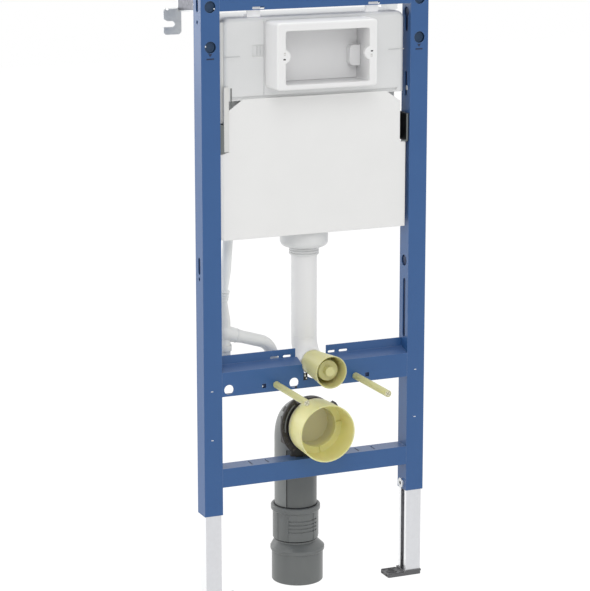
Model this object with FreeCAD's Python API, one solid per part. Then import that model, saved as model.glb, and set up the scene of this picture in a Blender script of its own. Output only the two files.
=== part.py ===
import FreeCAD, Part
import math
import os

from FreeCAD import Vector

os.makedirs("parts", exist_ok=True)

# Wall hung toilet frame: a blue steel frame that stands on two telescoping legs, is bolted
# to the wall at the top, and carries a flat cistern, a flush pipe, a waste bend and two studs.
# All lengths are millimetres. While modelling, X = 0 is the middle of the frame, with +X to
# the right as seen from the front, Y = 0 is the front face and +Y points to the wall, and
# Z = 0 is the finished floor. At export each piece is moved so that the origin lies on the
# rear face of the left wall plate.

# Frame
frame_width = 500.0
frame_top = 1120.0
profile = 40.0
steel_wall = 2.0
upright_bottom = 53.5
top_bar_height = 27.5
low_bar_below_outlet = 107.5
low_bar_height = 40.0
sheet = 2.5
mid_bar_below_studs = 14.0
mid_face_height = 51.0
mid_step_rise = 10.0
mid_step_depth = 28.0
mid_lip_height = 18.0
mid_flange_depth = 16.0

# Holes in the frame
side_hole_radius = 11.75
side_hole_heights = (1102.0, 1022.4)
hook_height = 1073.0
hook_radius = 11.0
hook_slot_width = 14.0
hook_slot_length = 40.0
inner_slot_width = 12.0
inner_slot_length = 127.0
inner_slot_middle = 452.0
inner_slot_depth = 18.0
small_slot_width = 10.0
small_slot_length = 52.0
small_slot_middle = 926.0
round_hole_height = 553.0
round_hole_radius = 11.8
outer_slot_width = 12.0
outer_slots = ((1104.0, 26.0), (579.0, 35.0))
outer_hole_radius = 4.0
outer_hole_heights = (1071.0, 552.0)
top_slot_middle = 127.0
top_slot_length = 27.0
top_slot_height = 5.0
top_slot_edge = 1.5
cable_hole_radius = 10.4
cable_hole_outer_x = 195.0
cable_hole_inner_x = 50.0
square_hole_x = 117.0
square_hole_size = 9.0
lip_slot_drop = 14.5
lip_slot_thickness = 5.0
lip_slots = ((-54.0, 18.0), (-82.0, 20.0), (47.0, 16.0), (74.0, 20.0))
low_slit_x = (103.0, 140.0)
low_slit_width = 3.0
low_slit_length = 22.0

# Legs
leg_size = 34.5
leg_wall = 2.0
leg_gap = 0.75
leg_length = 380.0
leg_slot = 17.0
leg_bottom = -131.0
foot_thickness = 7.0
foot_inner_reach = 39.0
foot_side_margin = 1.4
foot_rear_reach = 1.0
foot_collar = 3.0
foot_collar_height = 3.5
foot_corner = 4.0
floor_screw_radius = 5.5
floor_screw_slot = 16.0
floor_screw_inset = 17.0
lock_screw_height = 66.0
lock_head_radius = 10.5
lock_head_height = 4.0
lock_shaft_radius = 4.0
lock_shaft_length = 12.0
lock_hex = 8.0
lock_hex_depth = 2.8
lock_hole_gap = 0.3

# Wall brackets
wall_distance = 176.0
plate_thickness = 3.0
wall_plate_height = 1055.0
plate_below = 24.0
plate_above = 30.0
plate_outer_reach = 34.0
plate_inner_reach = 5.0
plate_chamfer = 5.0
plate_flange = 15.0
plate_flange_gap = 5.0
wall_slot_drop = 2.5
wall_slot_width = 12.0
wall_slot_flare = 5.0
wall_slot_flare_length = 9.0
wall_slot_depth = 24.0
arm_thickness = 4.0
arm_below_top = 4.0
arm_front_height = 26.0
arm_rear_height = 37.0
arm_base_thickness = 3.0
arm_base_margin = 1.0

# Cistern
cistern_side_gap = 10.0
cistern_front = 8.0
cistern_back = 118.0
cistern_bottom = 630.0
cistern_top = 1077.0
cistern_wall = 4.0
cistern_corner = 16.0
cistern_edge = 10.0
waist_side_gap = 27.0
waist_bottom = 804.0
waist_top = 912.0
shoulder_side_gap = 60.0
shoulder_bottom = 885.0
shoulder_depth = 12.0
pocket_x = (-137.0, -112.0)
pocket_z = (999.0, 1022.0)
pocket_depth = 1.5
cover_groove_height = 5.0
cover_groove_depth = 2.5
cover_thickness = 3.0
cover_top = 915.0
cover_top_gap = 52.0
cover_shoulder = 893.0
cover_upper_gap = 20.0
cover_step_top = 810.0
cover_step_bottom = 807.0
cover_lower_gap = 7.0
clip_bottom = 808.0
clip_top = 866.0
clip_front = 4.0
clip_back = 42.0
clip_web = 6.0
clip_plate = 4.7
clip_gap = 0.3
hanger_half_length = 14.0
hanger_middle = 130.0
hanger_thickness = 4.0

# Service box in front of the cistern
box_half_width = 109.5
box_bottom = 936.0
box_top = 1070.5
box_front = -55.0
opening_half_width = 91.5
opening_bottom = 946.5
opening_top = 1053.5
box_corner = 7.0
box_front_edge = 4.5
opening_corner = 4.0
inner_frame_depth = 6.0
boss_radius = 14.0
boss_x = 95.0
boss_height = 1003.0
boss_reach = 10.0
service_plate_thickness = 2.5
service_plate_gap = 0.4
service_tab_left = 68.0
service_tab_bottom = 973.0
service_tab_top = 1015.0
service_tab_depth = 16.5
service_tab_corner = 9.0

# Flush pipe
flush_y = 64.0
flush_above_studs = 35.0
flush_outer_radius = 27.0
flush_front_radius = 23.0
flush_wall = 2.5
flush_bend_radius = 45.0
flush_joint_rise = 47.0
flush_front = -22.0
flush_notch_radius = 31.5
flush_lip_notch_half = 35.0
collar_radius = 50.0
collar_bottom = 594.0
collar_edge = 12.0
neck_radius = 29.0
neck_bottom = 577.0
neck_ribs = 3
rib_height = 2.0
pipe_gap = 0.3
flush_plug_front = -77.0
flush_plug_back = 18.0
flush_plug_mouth_radius = 34.2
flush_plug_wall = 2.0
flush_hub_front = -59.0
flush_hub_radius = 21.5
flush_knob_radius = 10.5
flush_knob_length = 12.0

# Studs
stud_x = 90.0
stud_height = 320.0
stud_radius = 6.0
stud_tip = -150.0
stud_rear = 16.0
sleeve_tip = -157.0
sleeve_gap = 0.1
sleeve_wall = 1.0
nut_width = 18.0
nut_height = 10.0
thread_gap = 0.05

# Waste pipe
outlet_below_studs = 100.0
waste_y = 108.0
waste_outer_radius = 45.0
waste_wall = 4.0
waste_bend_radius = 50.0
socket_radius = 53.0
socket_front = 0.0
socket_back = 42.0
waste_plug_front = -60.0
waste_plug_back = 9.0
waste_plug_radius = 61.0
waste_plug_wall = 2.5
waste_plug_step = 57.0
waste_plug_back_radius = 58.5
waste_well_mouth = 42.5
waste_well_radius = 41.0
waste_well_floor = 92.0
waste_plug_gap = 0.5
waste_plug_ribs = 4
waste_rib_angle = -8.0
waste_rib_length = 5.0
waste_rib_thickness = 1.2
sleeve_ring_radius = 53.0
sleeve_ring_edge = 3.0
sleeve_ring_top = 22.5
sleeve_ring_bottom = 10.0
sleeve_body_radius = 49.0
sleeve_body_bottom = -51.0
groove_count = 4
groove_top = -4.8
groove_pitch = 8.1
groove_width = 3.0
groove_depth = 1.8
groove_half_width = 32.0
reducer_y = 98.0
reducer_neck_radius = 46.0
reducer_neck = 6.0
reducer_rim_radius = 58.0
reducer_cone = 12.0
reducer_rim = 8.0
reducer_rim_edge = 2.5
reducer_radius = 55.0
reducer_wall = 4.2
reducer_bottom = -143.5
reducer_edge = 2.0
clamp_radius = 57.5
clamp_front = 20.0
clamp_back = 38.0
clamp_teeth = 20
clamp_tooth = 2.0
clamp_tooth_length = 6.0
clamp_foot_half = 32.0
clamp_ear_reach = 68.0
clamp_ear_width = 12.0
clamp_ear_angle = 32.0
clamp_cheek_reach = 64.0
clamp_cheek_below = 36.0
clamp_cheek_above = 20.0

# Conduit beside the flush pipe: it leans to the left on its way down
conduit_top_gap = 39.0
conduit_low_gap = 29.0
conduit_y = 60.0
conduit_radius = 10.5
conduit_wall = 1.8
conduit_taper = 41.0
coupling_top = 515.0
coupling_length = 23.0
conduit_neck_radius = 6.8
coupling_groove_radius = 7.4
coupling_radius = 8.7
coupling_top_radius = 10.7
coupling_ribs = 4
branch_gap = 30.0
branch_radius = 12.0
branch_shoulder_drop = 41.0
branch_leg = 75.0
branch_end_radius = 14.5
branch_end = 12.0
arm_below_shoulder = 26.0
arm_root_radius = 17.0
arm_flare = 40.0
arm_radius = 13.0
arm_slope = 17.0
arm_run = 83.0
arm_bend = 37.0
arm_drop = 18.0
arm_grooves = 2
arm_groove_depth = 1.0

half = frame_width / 2
upright_x = half - profile / 2
inner_face = half - profile
cistern_half_width = inner_face - cistern_side_gap
waist_half_width = inner_face - waist_side_gap
shoulder_half_width = inner_face - shoulder_side_gap
cover_top_half = inner_face - cover_top_gap
cover_upper_half = inner_face - cover_upper_gap
cover_lower_half = inner_face - cover_lower_gap
conduit_top_x = conduit_top_gap - inner_face
conduit_low_x = conduit_low_gap - inner_face
branch_x = branch_gap - inner_face
plate_bottom = wall_plate_height - plate_below
plate_top = wall_plate_height + plate_above
arm_top = frame_top - arm_below_top
arm_front_bottom = arm_top - arm_front_height
arm_rear_bottom = arm_top - arm_rear_height
mid_bar_bottom = stud_height - mid_bar_below_studs
mid_bar_top = mid_bar_bottom + mid_face_height + mid_step_rise + mid_lip_height
flush_height = stud_height + flush_above_studs
flush_joint_height = flush_height + flush_joint_rise
waste_height = stud_height - outlet_below_studs
low_bar_bottom = waste_height - low_bar_below_outlet
conduit_taper_top = coupling_top + conduit_taper
coupling_bottom = coupling_top - coupling_length
branch_shoulder = coupling_bottom - branch_shoulder_drop
branch_bottom = branch_shoulder - branch_leg
arm_height = branch_shoulder - arm_below_shoulder
origin = Vector(-upright_x, wall_distance, wall_plate_height)

X_AXIS = Vector(1, 0, 0)
Y_AXIS = Vector(0, 1, 0)
Z_AXIS = Vector(0, 0, 1)


def block(x0, x1, y0, y1, z0, z1):
    return Part.makeBox(x1 - x0, y1 - y0, z1 - z0, Vector(x0, y0, z0))


def rod(radius, length, x, y, z, direction):
    return Part.makeCylinder(radius, length, Vector(x, y, z), direction)


def pipe(radius, wall, length, x, y, z, direction):
    return rod(radius, length, x, y, z, direction).cut(rod(radius - wall, length, x, y, z, direction))


def cone(radius_1, radius_2, length, x, y, z, direction):
    if abs(radius_1 - radius_2) < 1e-6:
        return rod(radius_1, length, x, y, z, direction)
    return Part.makeCone(radius_1, radius_2, length, Vector(x, y, z), direction)


def fuse(first, *others):
    return first.fuse(list(others)).removeSplitter()


def cut(first, *others):
    return first.cut(list(others))


def sheet_xz(points, y0, y1):
    """A flat sheet in the XZ plane with the given outline, from y0 to y1."""
    corners = [Vector(x, y0, z) for x, z in points]
    return Part.Face(Part.makePolygon(corners + corners[:1])).extrude(Vector(0, y1 - y0, 0))


def bar_along_x(points, x0, x1):
    """A bar with the given YZ outline, from x0 to x1."""
    corners = [Vector(x0, y, z) for y, z in points]
    return Part.Face(Part.makePolygon(corners + corners[:1])).extrude(Vector(x1 - x0, 0, 0))


def round_edges(shape, direction, radius, test=lambda edge: True):
    """Rounds the straight edges that run along one direction."""
    edges = []
    for edge in shape.Edges:
        if edge.Curve.TypeId != "Part::GeomLine" or not test(edge):
            continue
        if abs(edge.tangentAt(edge.FirstParameter).dot(direction)) > 0.999:
            edges.append(edge)
    return shape.makeFillet(radius, edges)


def rounded_block(x0, x1, y0, y1, z0, z1, direction, radius):
    return round_edges(block(x0, x1, y0, y1, z0, z1), direction, radius)


def slot_cutter(width, length, depth, x, y, z, long_axis, cut_axis):
    """A slot with round ends, centred on a point, that is cut along one axis."""
    run = length - width
    start = Vector(x, y, z) - cut_axis * (depth / 2)
    ends = [start - long_axis * (run / 2), start + long_axis * (run / 2)]
    caps = [Part.makeCylinder(width / 2, depth, end, cut_axis) for end in ends]
    side = long_axis.cross(cut_axis)
    base = ends[0] - side * (width / 2)
    corners = [base, base + long_axis * run, base + long_axis * run + side * width, base + side * width]
    middle = Part.Face(Part.makePolygon(corners + corners[:1])).extrude(cut_axis * depth)
    return fuse(middle, *caps)


def mirrored(shape):
    return shape.mirror(Vector(0, 0, 0), X_AXIS)


def elbow(front_radius, radius, x, y_front, z_axis, y_axis, bend, z_end):
    """A round solid that runs back from y_front and turns down or up to z_end."""
    turn = 1.0 if z_end > z_axis else -1.0
    y_turn = y_axis - bend
    parts = [rod(front_radius, y_turn - y_front, x, y_front, z_axis, Y_AXIS)]
    face = Part.Face(Part.Wire(Part.makeCircle(radius, Vector(x, y_turn, z_axis), Y_AXIS)))
    parts.append(face.revolve(Vector(x, y_turn, z_axis + turn * bend), X_AXIS * turn, 90))
    z_turn = z_axis + turn * bend
    parts.append(rod(radius, abs(z_end - z_turn), x, y_axis, z_turn, Z_AXIS * turn))
    return fuse(*parts)


def right_upright():
    """A square tube with round holes in front and slots for side fixings."""
    body = block(inner_face, half, 0, profile, upright_bottom, frame_top)
    inner = block(inner_face + steel_wall, half - steel_wall, steel_wall, profile - steel_wall,
                  upright_bottom, frame_top)
    cutters = [inner]
    for z in side_hole_heights:
        cutters.append(rod(side_hole_radius, steel_wall, upright_x, 0, z, Y_AXIS))
    wall_x = inner_face + steel_wall / 2
    middle_y = profile / 2
    cutters.append(rod(hook_radius, steel_wall, inner_face, middle_y, hook_height, X_AXIS))
    cutters.append(slot_cutter(hook_slot_width, hook_slot_length, steel_wall, wall_x, middle_y,
                               hook_height - hook_slot_length / 2, Z_AXIS, X_AXIS))
    cutters.append(slot_cutter(inner_slot_width, inner_slot_length, steel_wall, wall_x, inner_slot_depth,
                               inner_slot_middle, Z_AXIS, X_AXIS))
    cutters.append(slot_cutter(small_slot_width, small_slot_length, steel_wall, wall_x, middle_y,
                               small_slot_middle, Z_AXIS, X_AXIS))
    cutters.append(rod(round_hole_radius, steel_wall, inner_face, middle_y, round_hole_height, X_AXIS))
    cutters.append(rod(lock_shaft_radius + lock_hole_gap, steel_wall, inner_face, middle_y,
                       lock_screw_height, X_AXIS))
    outer_wall_x = half - steel_wall / 2
    for height, length in outer_slots:
        cutters.append(slot_cutter(outer_slot_width, length, steel_wall, outer_wall_x, middle_y,
                                   height, Z_AXIS, X_AXIS))
    for height in outer_hole_heights:
        cutters.append(rod(outer_hole_radius, steel_wall, half - steel_wall, middle_y, height, X_AXIS))
    return cut(body, *cutters)


def top_crossbar():
    """A channel, open below, with two slots and the cistern's hanger slots near its lower edge."""
    bottom = frame_top - top_bar_height
    body = block(-inner_face, inner_face, 0, profile, bottom, frame_top)
    hollow = block(-inner_face, inner_face, steel_wall, profile - steel_wall, bottom, frame_top - steel_wall)
    cutters = [hollow]
    slot_z = bottom + top_slot_edge + top_slot_height / 2
    for side in (-1, 1):
        cutters.append(slot_cutter(top_slot_height, top_slot_length, steel_wall, side * top_slot_middle,
                                   steel_wall / 2, slot_z, X_AXIS, Y_AXIS))
    return cut(body, *cutters)


def middle_crossbar():
    """A pressed sheet: front face, a step back to an upper lip, and a lower flange."""
    face_top = mid_bar_bottom + mid_face_height
    step_top = face_top + mid_step_rise
    outline = [(0, mid_bar_bottom), (mid_flange_depth, mid_bar_bottom),
               (mid_flange_depth, mid_bar_bottom + sheet), (sheet, mid_bar_bottom + sheet),
               (sheet, face_top - sheet), (mid_step_depth + sheet, step_top - sheet),
               (mid_step_depth + sheet, mid_bar_top), (mid_step_depth, mid_bar_top),
               (mid_step_depth, step_top), (0, face_top)]
    body = bar_along_x(outline, -inner_face, inner_face)
    r = flush_notch_radius
    depth = mid_step_depth + sheet
    w = flush_lip_notch_half
    cutters = [rod(r, depth, 0, 0, flush_height, Y_AXIS),
               block(-r, r, 0, depth, flush_height, mid_bar_top),
               block(-w, w, mid_step_depth, depth, step_top - sheet, mid_bar_top)]
    for x in (-cable_hole_outer_x, -cable_hole_inner_x, cable_hole_inner_x):
        cutters.append(rod(cable_hole_radius, sheet, x, 0, stud_height, Y_AXIS))
    size = square_hole_size
    for x in (-square_hole_x, square_hole_x):
        cutters.append(block(x - size / 2, x + size / 2, 0, sheet, stud_height - size / 2,
                             stud_height + size / 2))
    for x in (-stud_x, stud_x):
        cutters.append(rod(stud_radius + thread_gap, sheet, x, 0, stud_height, Y_AXIS))
    for x, length in lip_slots:
        cutters.append(slot_cutter(lip_slot_thickness, length, sheet, x, mid_step_depth + sheet / 2,
                                   mid_bar_top - lip_slot_drop, X_AXIS, Y_AXIS))
    return cut(body, *cutters)


def lower_crossbar():
    """A square tube with four slits in its upper side."""
    top = low_bar_bottom + low_bar_height
    body = block(-inner_face, inner_face, 0, profile, low_bar_bottom, top)
    hollow = block(-inner_face, inner_face, steel_wall, profile - steel_wall,
                   low_bar_bottom + steel_wall, top - steel_wall)
    slits = []
    for x in low_slit_x:
        for side in (-1, 1):
            slits.append(block(side * x - low_slit_width / 2, side * x + low_slit_width / 2,
                               (profile - low_slit_length) / 2, (profile + low_slit_length) / 2,
                               top - steel_wall, top))
    return cut(body, hollow, *slits)


def right_leg():
    """A square profile that slides in the upright, with a long slot on its inner side."""
    x0 = upright_x - leg_size / 2
    x1 = upright_x + leg_size / 2
    y0 = steel_wall + leg_gap
    y1 = y0 + leg_size
    top = leg_bottom + leg_length
    body = block(x0, x1, y0, y1, leg_bottom, top)
    hollow = block(x0 + leg_wall, x1 - leg_wall, y0 + leg_wall, y1 - leg_wall, leg_bottom, top)
    middle = profile / 2
    slot = block(x0, x0 + leg_wall, middle - leg_slot / 2, middle + leg_slot / 2, leg_bottom, top)
    return cut(body, hollow, slot)


def right_foot_plate():
    """A plate under the leg that reaches inwards, with a collar and a slot for a floor screw."""
    x0 = inner_face - foot_inner_reach
    x1 = half - foot_side_margin
    y1 = profile + foot_rear_reach
    bottom = leg_bottom - foot_thickness
    plate = rounded_block(x0, x1, 0, y1, bottom, leg_bottom, Z_AXIS, foot_corner)
    leg_x0 = upright_x - leg_size / 2 - leg_gap
    leg_x1 = upright_x + leg_size / 2 + leg_gap
    leg_y0 = steel_wall
    leg_y1 = leg_y0 + leg_size + 2 * leg_gap
    collar = block(leg_x0 - foot_collar, x1, 0, y1, leg_bottom, leg_bottom + foot_collar_height)
    well = block(leg_x0, leg_x1, leg_y0, leg_y1, leg_bottom, leg_bottom + foot_collar_height)
    slot = slot_cutter(2 * floor_screw_radius, floor_screw_slot, foot_thickness,
                       x0 + floor_screw_inset, y1 / 2, bottom + foot_thickness / 2, X_AXIS, Z_AXIS)
    return cut(fuse(plate, cut(collar, well)), slot)


def right_lock_screw():
    """A round screw head with a hexagon socket, and the shank that holds the leg."""
    middle = profile / 2
    head = rod(lock_head_radius, lock_head_height, inner_face, middle, lock_screw_height, X_AXIS * -1)
    shank = rod(lock_shaft_radius, lock_shaft_length, inner_face, middle, lock_screw_height, X_AXIS)
    socket = hexagon(lock_hex, lock_hex_depth, inner_face - lock_head_height, middle, lock_screw_height,
                     X_AXIS)
    return cut(fuse(head, shank), socket)


def hexagon(width, length, x, y, z, direction):
    """A hexagonal bar, width across its flats, along X or Y."""
    radius = width / math.sqrt(3)
    corners = []
    for step in range(6):
        angle = math.radians(60 * step)
        a = radius * math.cos(angle)
        b = radius * math.sin(angle)
        if abs(direction.x) > 0.5:
            corners.append(Vector(x, y + a, z + b))
        else:
            corners.append(Vector(x + a, y, z + b))
    return Part.Face(Part.makePolygon(corners + corners[:1])).extrude(direction * length)


def right_wall_plate():
    """The plate that is screwed to the wall: an open slot, a neck behind the arm and a flange."""
    front = wall_distance - plate_thickness
    x_in = upright_x - plate_inner_reach
    x_out = upright_x + plate_outer_reach
    c = plate_chamfer
    outline = [(x_in + c, plate_bottom), (x_out - c, plate_bottom), (x_out, plate_bottom + c),
               (x_out, plate_top - c), (x_out - c, plate_top),
               (upright_x + arm_thickness / 2, plate_top), (upright_x + arm_thickness / 2, arm_top),
               (upright_x - arm_thickness / 2 - c, arm_top), (upright_x - arm_thickness / 2 - c, plate_top),
               (x_in, plate_top), (x_in, plate_bottom + c)]
    body = sheet_xz(outline, front, wall_distance)
    flange_x0 = upright_x + arm_thickness / 2 + plate_flange_gap
    flange = block(flange_x0, x_out - c, front - plate_flange, front, plate_top - plate_thickness, plate_top)
    slot_z = wall_plate_height - wall_slot_drop
    slot = slot_cutter(wall_slot_width, 2 * wall_slot_depth, plate_thickness, x_out,
                       front + plate_thickness / 2, slot_z, X_AXIS, Y_AXIS)
    slot_top = slot_z + wall_slot_width / 2
    flare = sheet_xz([(x_out - wall_slot_flare_length, slot_top), (x_out, slot_top),
                      (x_out, slot_top + wall_slot_flare)], front, wall_distance)
    return cut(fuse(body, flange), slot, flare)


def right_wall_arm():
    """A flat arm on a base plate, from the back of the upright to the wall plate."""
    y0 = profile
    y1 = profile + arm_base_thickness
    y2 = wall_distance - plate_thickness
    base = block(inner_face + arm_base_margin, half - arm_base_margin, y0, y1, arm_front_bottom, arm_top)
    corners = [(y1, arm_front_bottom), (y2, arm_rear_bottom), (y2, arm_top), (y1, arm_top)]
    arm = bar_along_x(corners, upright_x - arm_thickness / 2, upright_x + arm_thickness / 2)
    return fuse(base, arm)


def cistern_block(inset):
    """The cistern's outline, narrower at its waist, drawn in by a wall thickness."""
    w = cistern_half_width - inset
    front = cistern_front + inset
    back = cistern_back - inset
    body = rounded_block(-w, w, front, back, cistern_bottom + inset, cistern_top - inset, Y_AXIS,
                         cistern_corner - inset)
    front_edges = [edge for edge in body.Edges if edge.BoundBox.YMax < front + 1]
    body = body.makeFillet(cistern_edge - inset, front_edges)
    waist = waist_half_width - inset
    notch = block(waist, w, front, back, waist_bottom - inset, waist_top + inset)
    shoulder = block(shoulder_half_width - inset, w, front, front + shoulder_depth,
                     shoulder_bottom - inset, waist_top + inset)
    return cut(body, notch, mirrored(notch), shoulder, mirrored(shoulder))


def cistern_body():
    """A flat hollow cistern with a service opening in front and an outlet below."""
    t = cistern_wall
    edge = inner_frame_depth
    service = block(-opening_half_width + edge, opening_half_width - edge, cistern_front,
                    cistern_front + t, opening_bottom + edge, opening_top - edge)
    outlet = rod(flush_outer_radius, t, 0, flush_y, cistern_bottom, Z_AXIS)
    pocket = block(*pocket_x, cistern_front, cistern_front + pocket_depth, *pocket_z)
    groove = block(-waist_half_width, waist_half_width, cistern_front, cistern_front + cover_groove_depth,
                   cover_top, cover_top + cover_groove_height)
    return cut(cistern_block(0), cistern_block(t), service, outlet, pocket, groove)


def cistern_front_cover():
    """The flat cover on the lower front of the cistern."""
    z_bottom = cistern_bottom
    side = [(cover_top_half, cover_top), (cover_upper_half, cover_shoulder),
            (cover_upper_half, cover_step_top), (cover_lower_half, cover_step_bottom),
            (cover_lower_half, z_bottom)]
    outline = side + [(-x, z) for x, z in reversed(side)]
    return sheet_xz(outline, cistern_front - cover_thickness, cistern_front)


def right_cistern_clip():
    """An L of plastic: a plate along the upright's inner side and a web to the cistern's waist."""
    x1 = inner_face - clip_gap
    plate = block(x1 - clip_plate, x1, clip_front, clip_back + clip_web, clip_bottom, clip_top)
    web = block(waist_half_width, x1, clip_back, clip_back + clip_web, clip_bottom, clip_top)
    return fuse(plate, web)


def cistern_hanger(side):
    """A tab on top of the cistern that hooks behind the top crossbar."""
    x = side * hanger_middle
    foot = block(x - hanger_half_length, x + hanger_half_length, profile / 2, profile, cistern_top,
                 cistern_top + hanger_thickness)
    hook = block(x - hanger_half_length, x + hanger_half_length, profile / 2 - hanger_thickness / 2,
                 profile / 2 + hanger_thickness / 2, cistern_top, frame_top - steel_wall - clip_gap)
    return fuse(foot, hook)


def service_box():
    """The box around the service opening, with a boss for a screw at each side."""
    outer = rounded_block(-box_half_width, box_half_width, box_front, cistern_front,
                          box_bottom, box_top, Y_AXIS, box_corner)
    front_edges = [edge for edge in outer.Edges if edge.BoundBox.YMax < box_front + 1]
    outer = outer.makeFillet(box_front_edge, front_edges)
    opening = rounded_block(-opening_half_width, opening_half_width, box_front, cistern_front,
                            opening_bottom, opening_top, Y_AXIS, opening_corner)
    bosses = []
    for side in (-1, 1):
        boss = rod(boss_radius, boss_reach, side * boss_x, box_front, boss_height, Y_AXIS)
        bosses.append(boss.common(outer))
    return fuse(cut(outer, opening), *bosses)


def service_plate():
    """The plate that closes the service opening at the back of the box, with a D-shaped block."""
    gap = service_plate_gap
    front = cistern_front - service_plate_thickness
    x1 = opening_half_width - gap
    plate = rounded_block(-x1, x1, front, cistern_front, opening_bottom + gap, opening_top - gap,
                          Y_AXIS, opening_corner - gap)
    tab = block(service_tab_left, x1, front - service_tab_depth, front, service_tab_bottom,
                service_tab_top)
    tab = round_edges(tab, Y_AXIS, service_tab_corner,
                      lambda edge: edge.BoundBox.XMax < service_tab_left + 1)
    return fuse(plate, tab)


def lowest_edges(shape):
    """The round edges at the bottom of a solid of revolution about Z."""
    return [edge for edge in shape.Edges if edge.BoundBox.ZMax < shape.BoundBox.ZMin + 0.1]


def highest_edges(shape):
    """The round edges at the top of a solid of revolution about Z."""
    return [edge for edge in shape.Edges if edge.BoundBox.ZMin > shape.BoundBox.ZMax - 0.1]


def outlet_collar():
    """The round nut under the cistern, with a ribbed neck that takes the flush pipe."""
    body = rod(collar_radius, cistern_bottom - collar_bottom, 0, flush_y, collar_bottom, Z_AXIS)
    body = body.makeFillet(collar_edge, lowest_edges(body))
    neck = rod(neck_radius, collar_bottom - neck_bottom, 0, flush_y, neck_bottom, Z_AXIS)
    ribs = []
    pitch = (collar_bottom - neck_bottom) / neck_ribs
    for index in range(neck_ribs):
        ribs.append(rod(neck_radius + rib_height, pitch / 2, 0, flush_y, neck_bottom + index * pitch, Z_AXIS))
    bore = rod(flush_outer_radius + pipe_gap, cistern_bottom - neck_bottom, 0, flush_y, neck_bottom, Z_AXIS)
    return cut(fuse(body, neck, *ribs), bore)


def flush_pipe():
    length = cistern_bottom - flush_joint_height
    return pipe(flush_outer_radius, flush_wall, length, 0, flush_y, flush_joint_height, Z_AXIS)


def flush_bend():
    """The bend from the flush pipe to the front, where it steps down to the plug's size."""
    outer = elbow(flush_front_radius, flush_outer_radius, 0, flush_front, flush_height, flush_y,
                  flush_bend_radius, flush_joint_height)
    bore = flush_front_radius - flush_wall
    inner = elbow(bore, flush_outer_radius - flush_wall, 0, flush_front, flush_height, flush_y,
                  flush_bend_radius, flush_joint_height)
    step_y = flush_y - flush_bend_radius
    step = pipe(flush_outer_radius - flush_wall / 2, flush_outer_radius - flush_wall / 2 - bore,
                flush_wall, 0, step_y, flush_height, Y_AXIS)
    return fuse(cut(outer, inner), step)


def flush_plug():
    """A tapered sleeve over the end of the flush bend, with a closed hub and a knob inside."""
    wall = flush_plug_wall
    length = flush_plug_back - flush_plug_front
    tail_radius = flush_front_radius + pipe_gap + wall
    body = cone(flush_plug_mouth_radius, tail_radius, length, 0, flush_plug_front, flush_height, Y_AXIS)
    hollow = cone(flush_plug_mouth_radius - wall, tail_radius - wall, length, 0, flush_plug_front,
                  flush_height, Y_AXIS)
    floor_y = flush_front - pipe_gap - wall
    floor = rod(flush_plug_mouth_radius, wall, 0, floor_y, flush_height, Y_AXIS).common(body)
    hub = rod(flush_hub_radius, floor_y + wall - flush_hub_front, 0, flush_hub_front, flush_height, Y_AXIS)
    hub_hollow = rod(flush_hub_radius - wall, floor_y - flush_hub_front, 0, flush_hub_front + wall,
                     flush_height, Y_AXIS)
    knob = rod(flush_knob_radius, flush_knob_length, 0, flush_hub_front - flush_knob_length, flush_height,
               Y_AXIS)
    return fuse(cut(fuse(cut(body, hollow), floor, hub), hub_hollow), knob)


def right_stud():
    length = stud_rear - stud_tip
    return rod(stud_radius, length, stud_x, stud_tip, stud_height, Y_AXIS)


def right_stud_sleeve():
    """A protective sleeve over the stud, open at its tip."""
    radius = stud_radius + sleeve_gap + sleeve_wall
    return pipe(radius, sleeve_wall, -sleeve_tip, stud_x, sleeve_tip, stud_height, Y_AXIS)


def right_stud_nut():
    """The nut behind the middle crossbar that carries the stud."""
    body = hexagon(nut_width, nut_height, stud_x, sheet, stud_height, Y_AXIS)
    return cut(body, rod(stud_radius + thread_gap, nut_height, stud_x, sheet, stud_height, Y_AXIS))


def waste_bend():
    """The bend from the pan outlet down to the drain, with a socket in front."""
    outer = elbow(waste_outer_radius, waste_outer_radius, 0, socket_front, waste_height, waste_y,
                  waste_bend_radius, sleeve_ring_bottom)
    inner_radius = waste_outer_radius - waste_wall
    inner = elbow(inner_radius, inner_radius, 0, socket_front, waste_height, waste_y,
                  waste_bend_radius, sleeve_ring_bottom)
    socket = rod(socket_radius, socket_back - socket_front, 0, socket_front, waste_height, Y_AXIS)
    socket_bore = rod(socket_radius - waste_wall, socket_back - socket_front - waste_wall, 0,
                      socket_front, waste_height, Y_AXIS)
    return cut(fuse(outer, socket), inner, socket_bore)


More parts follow.
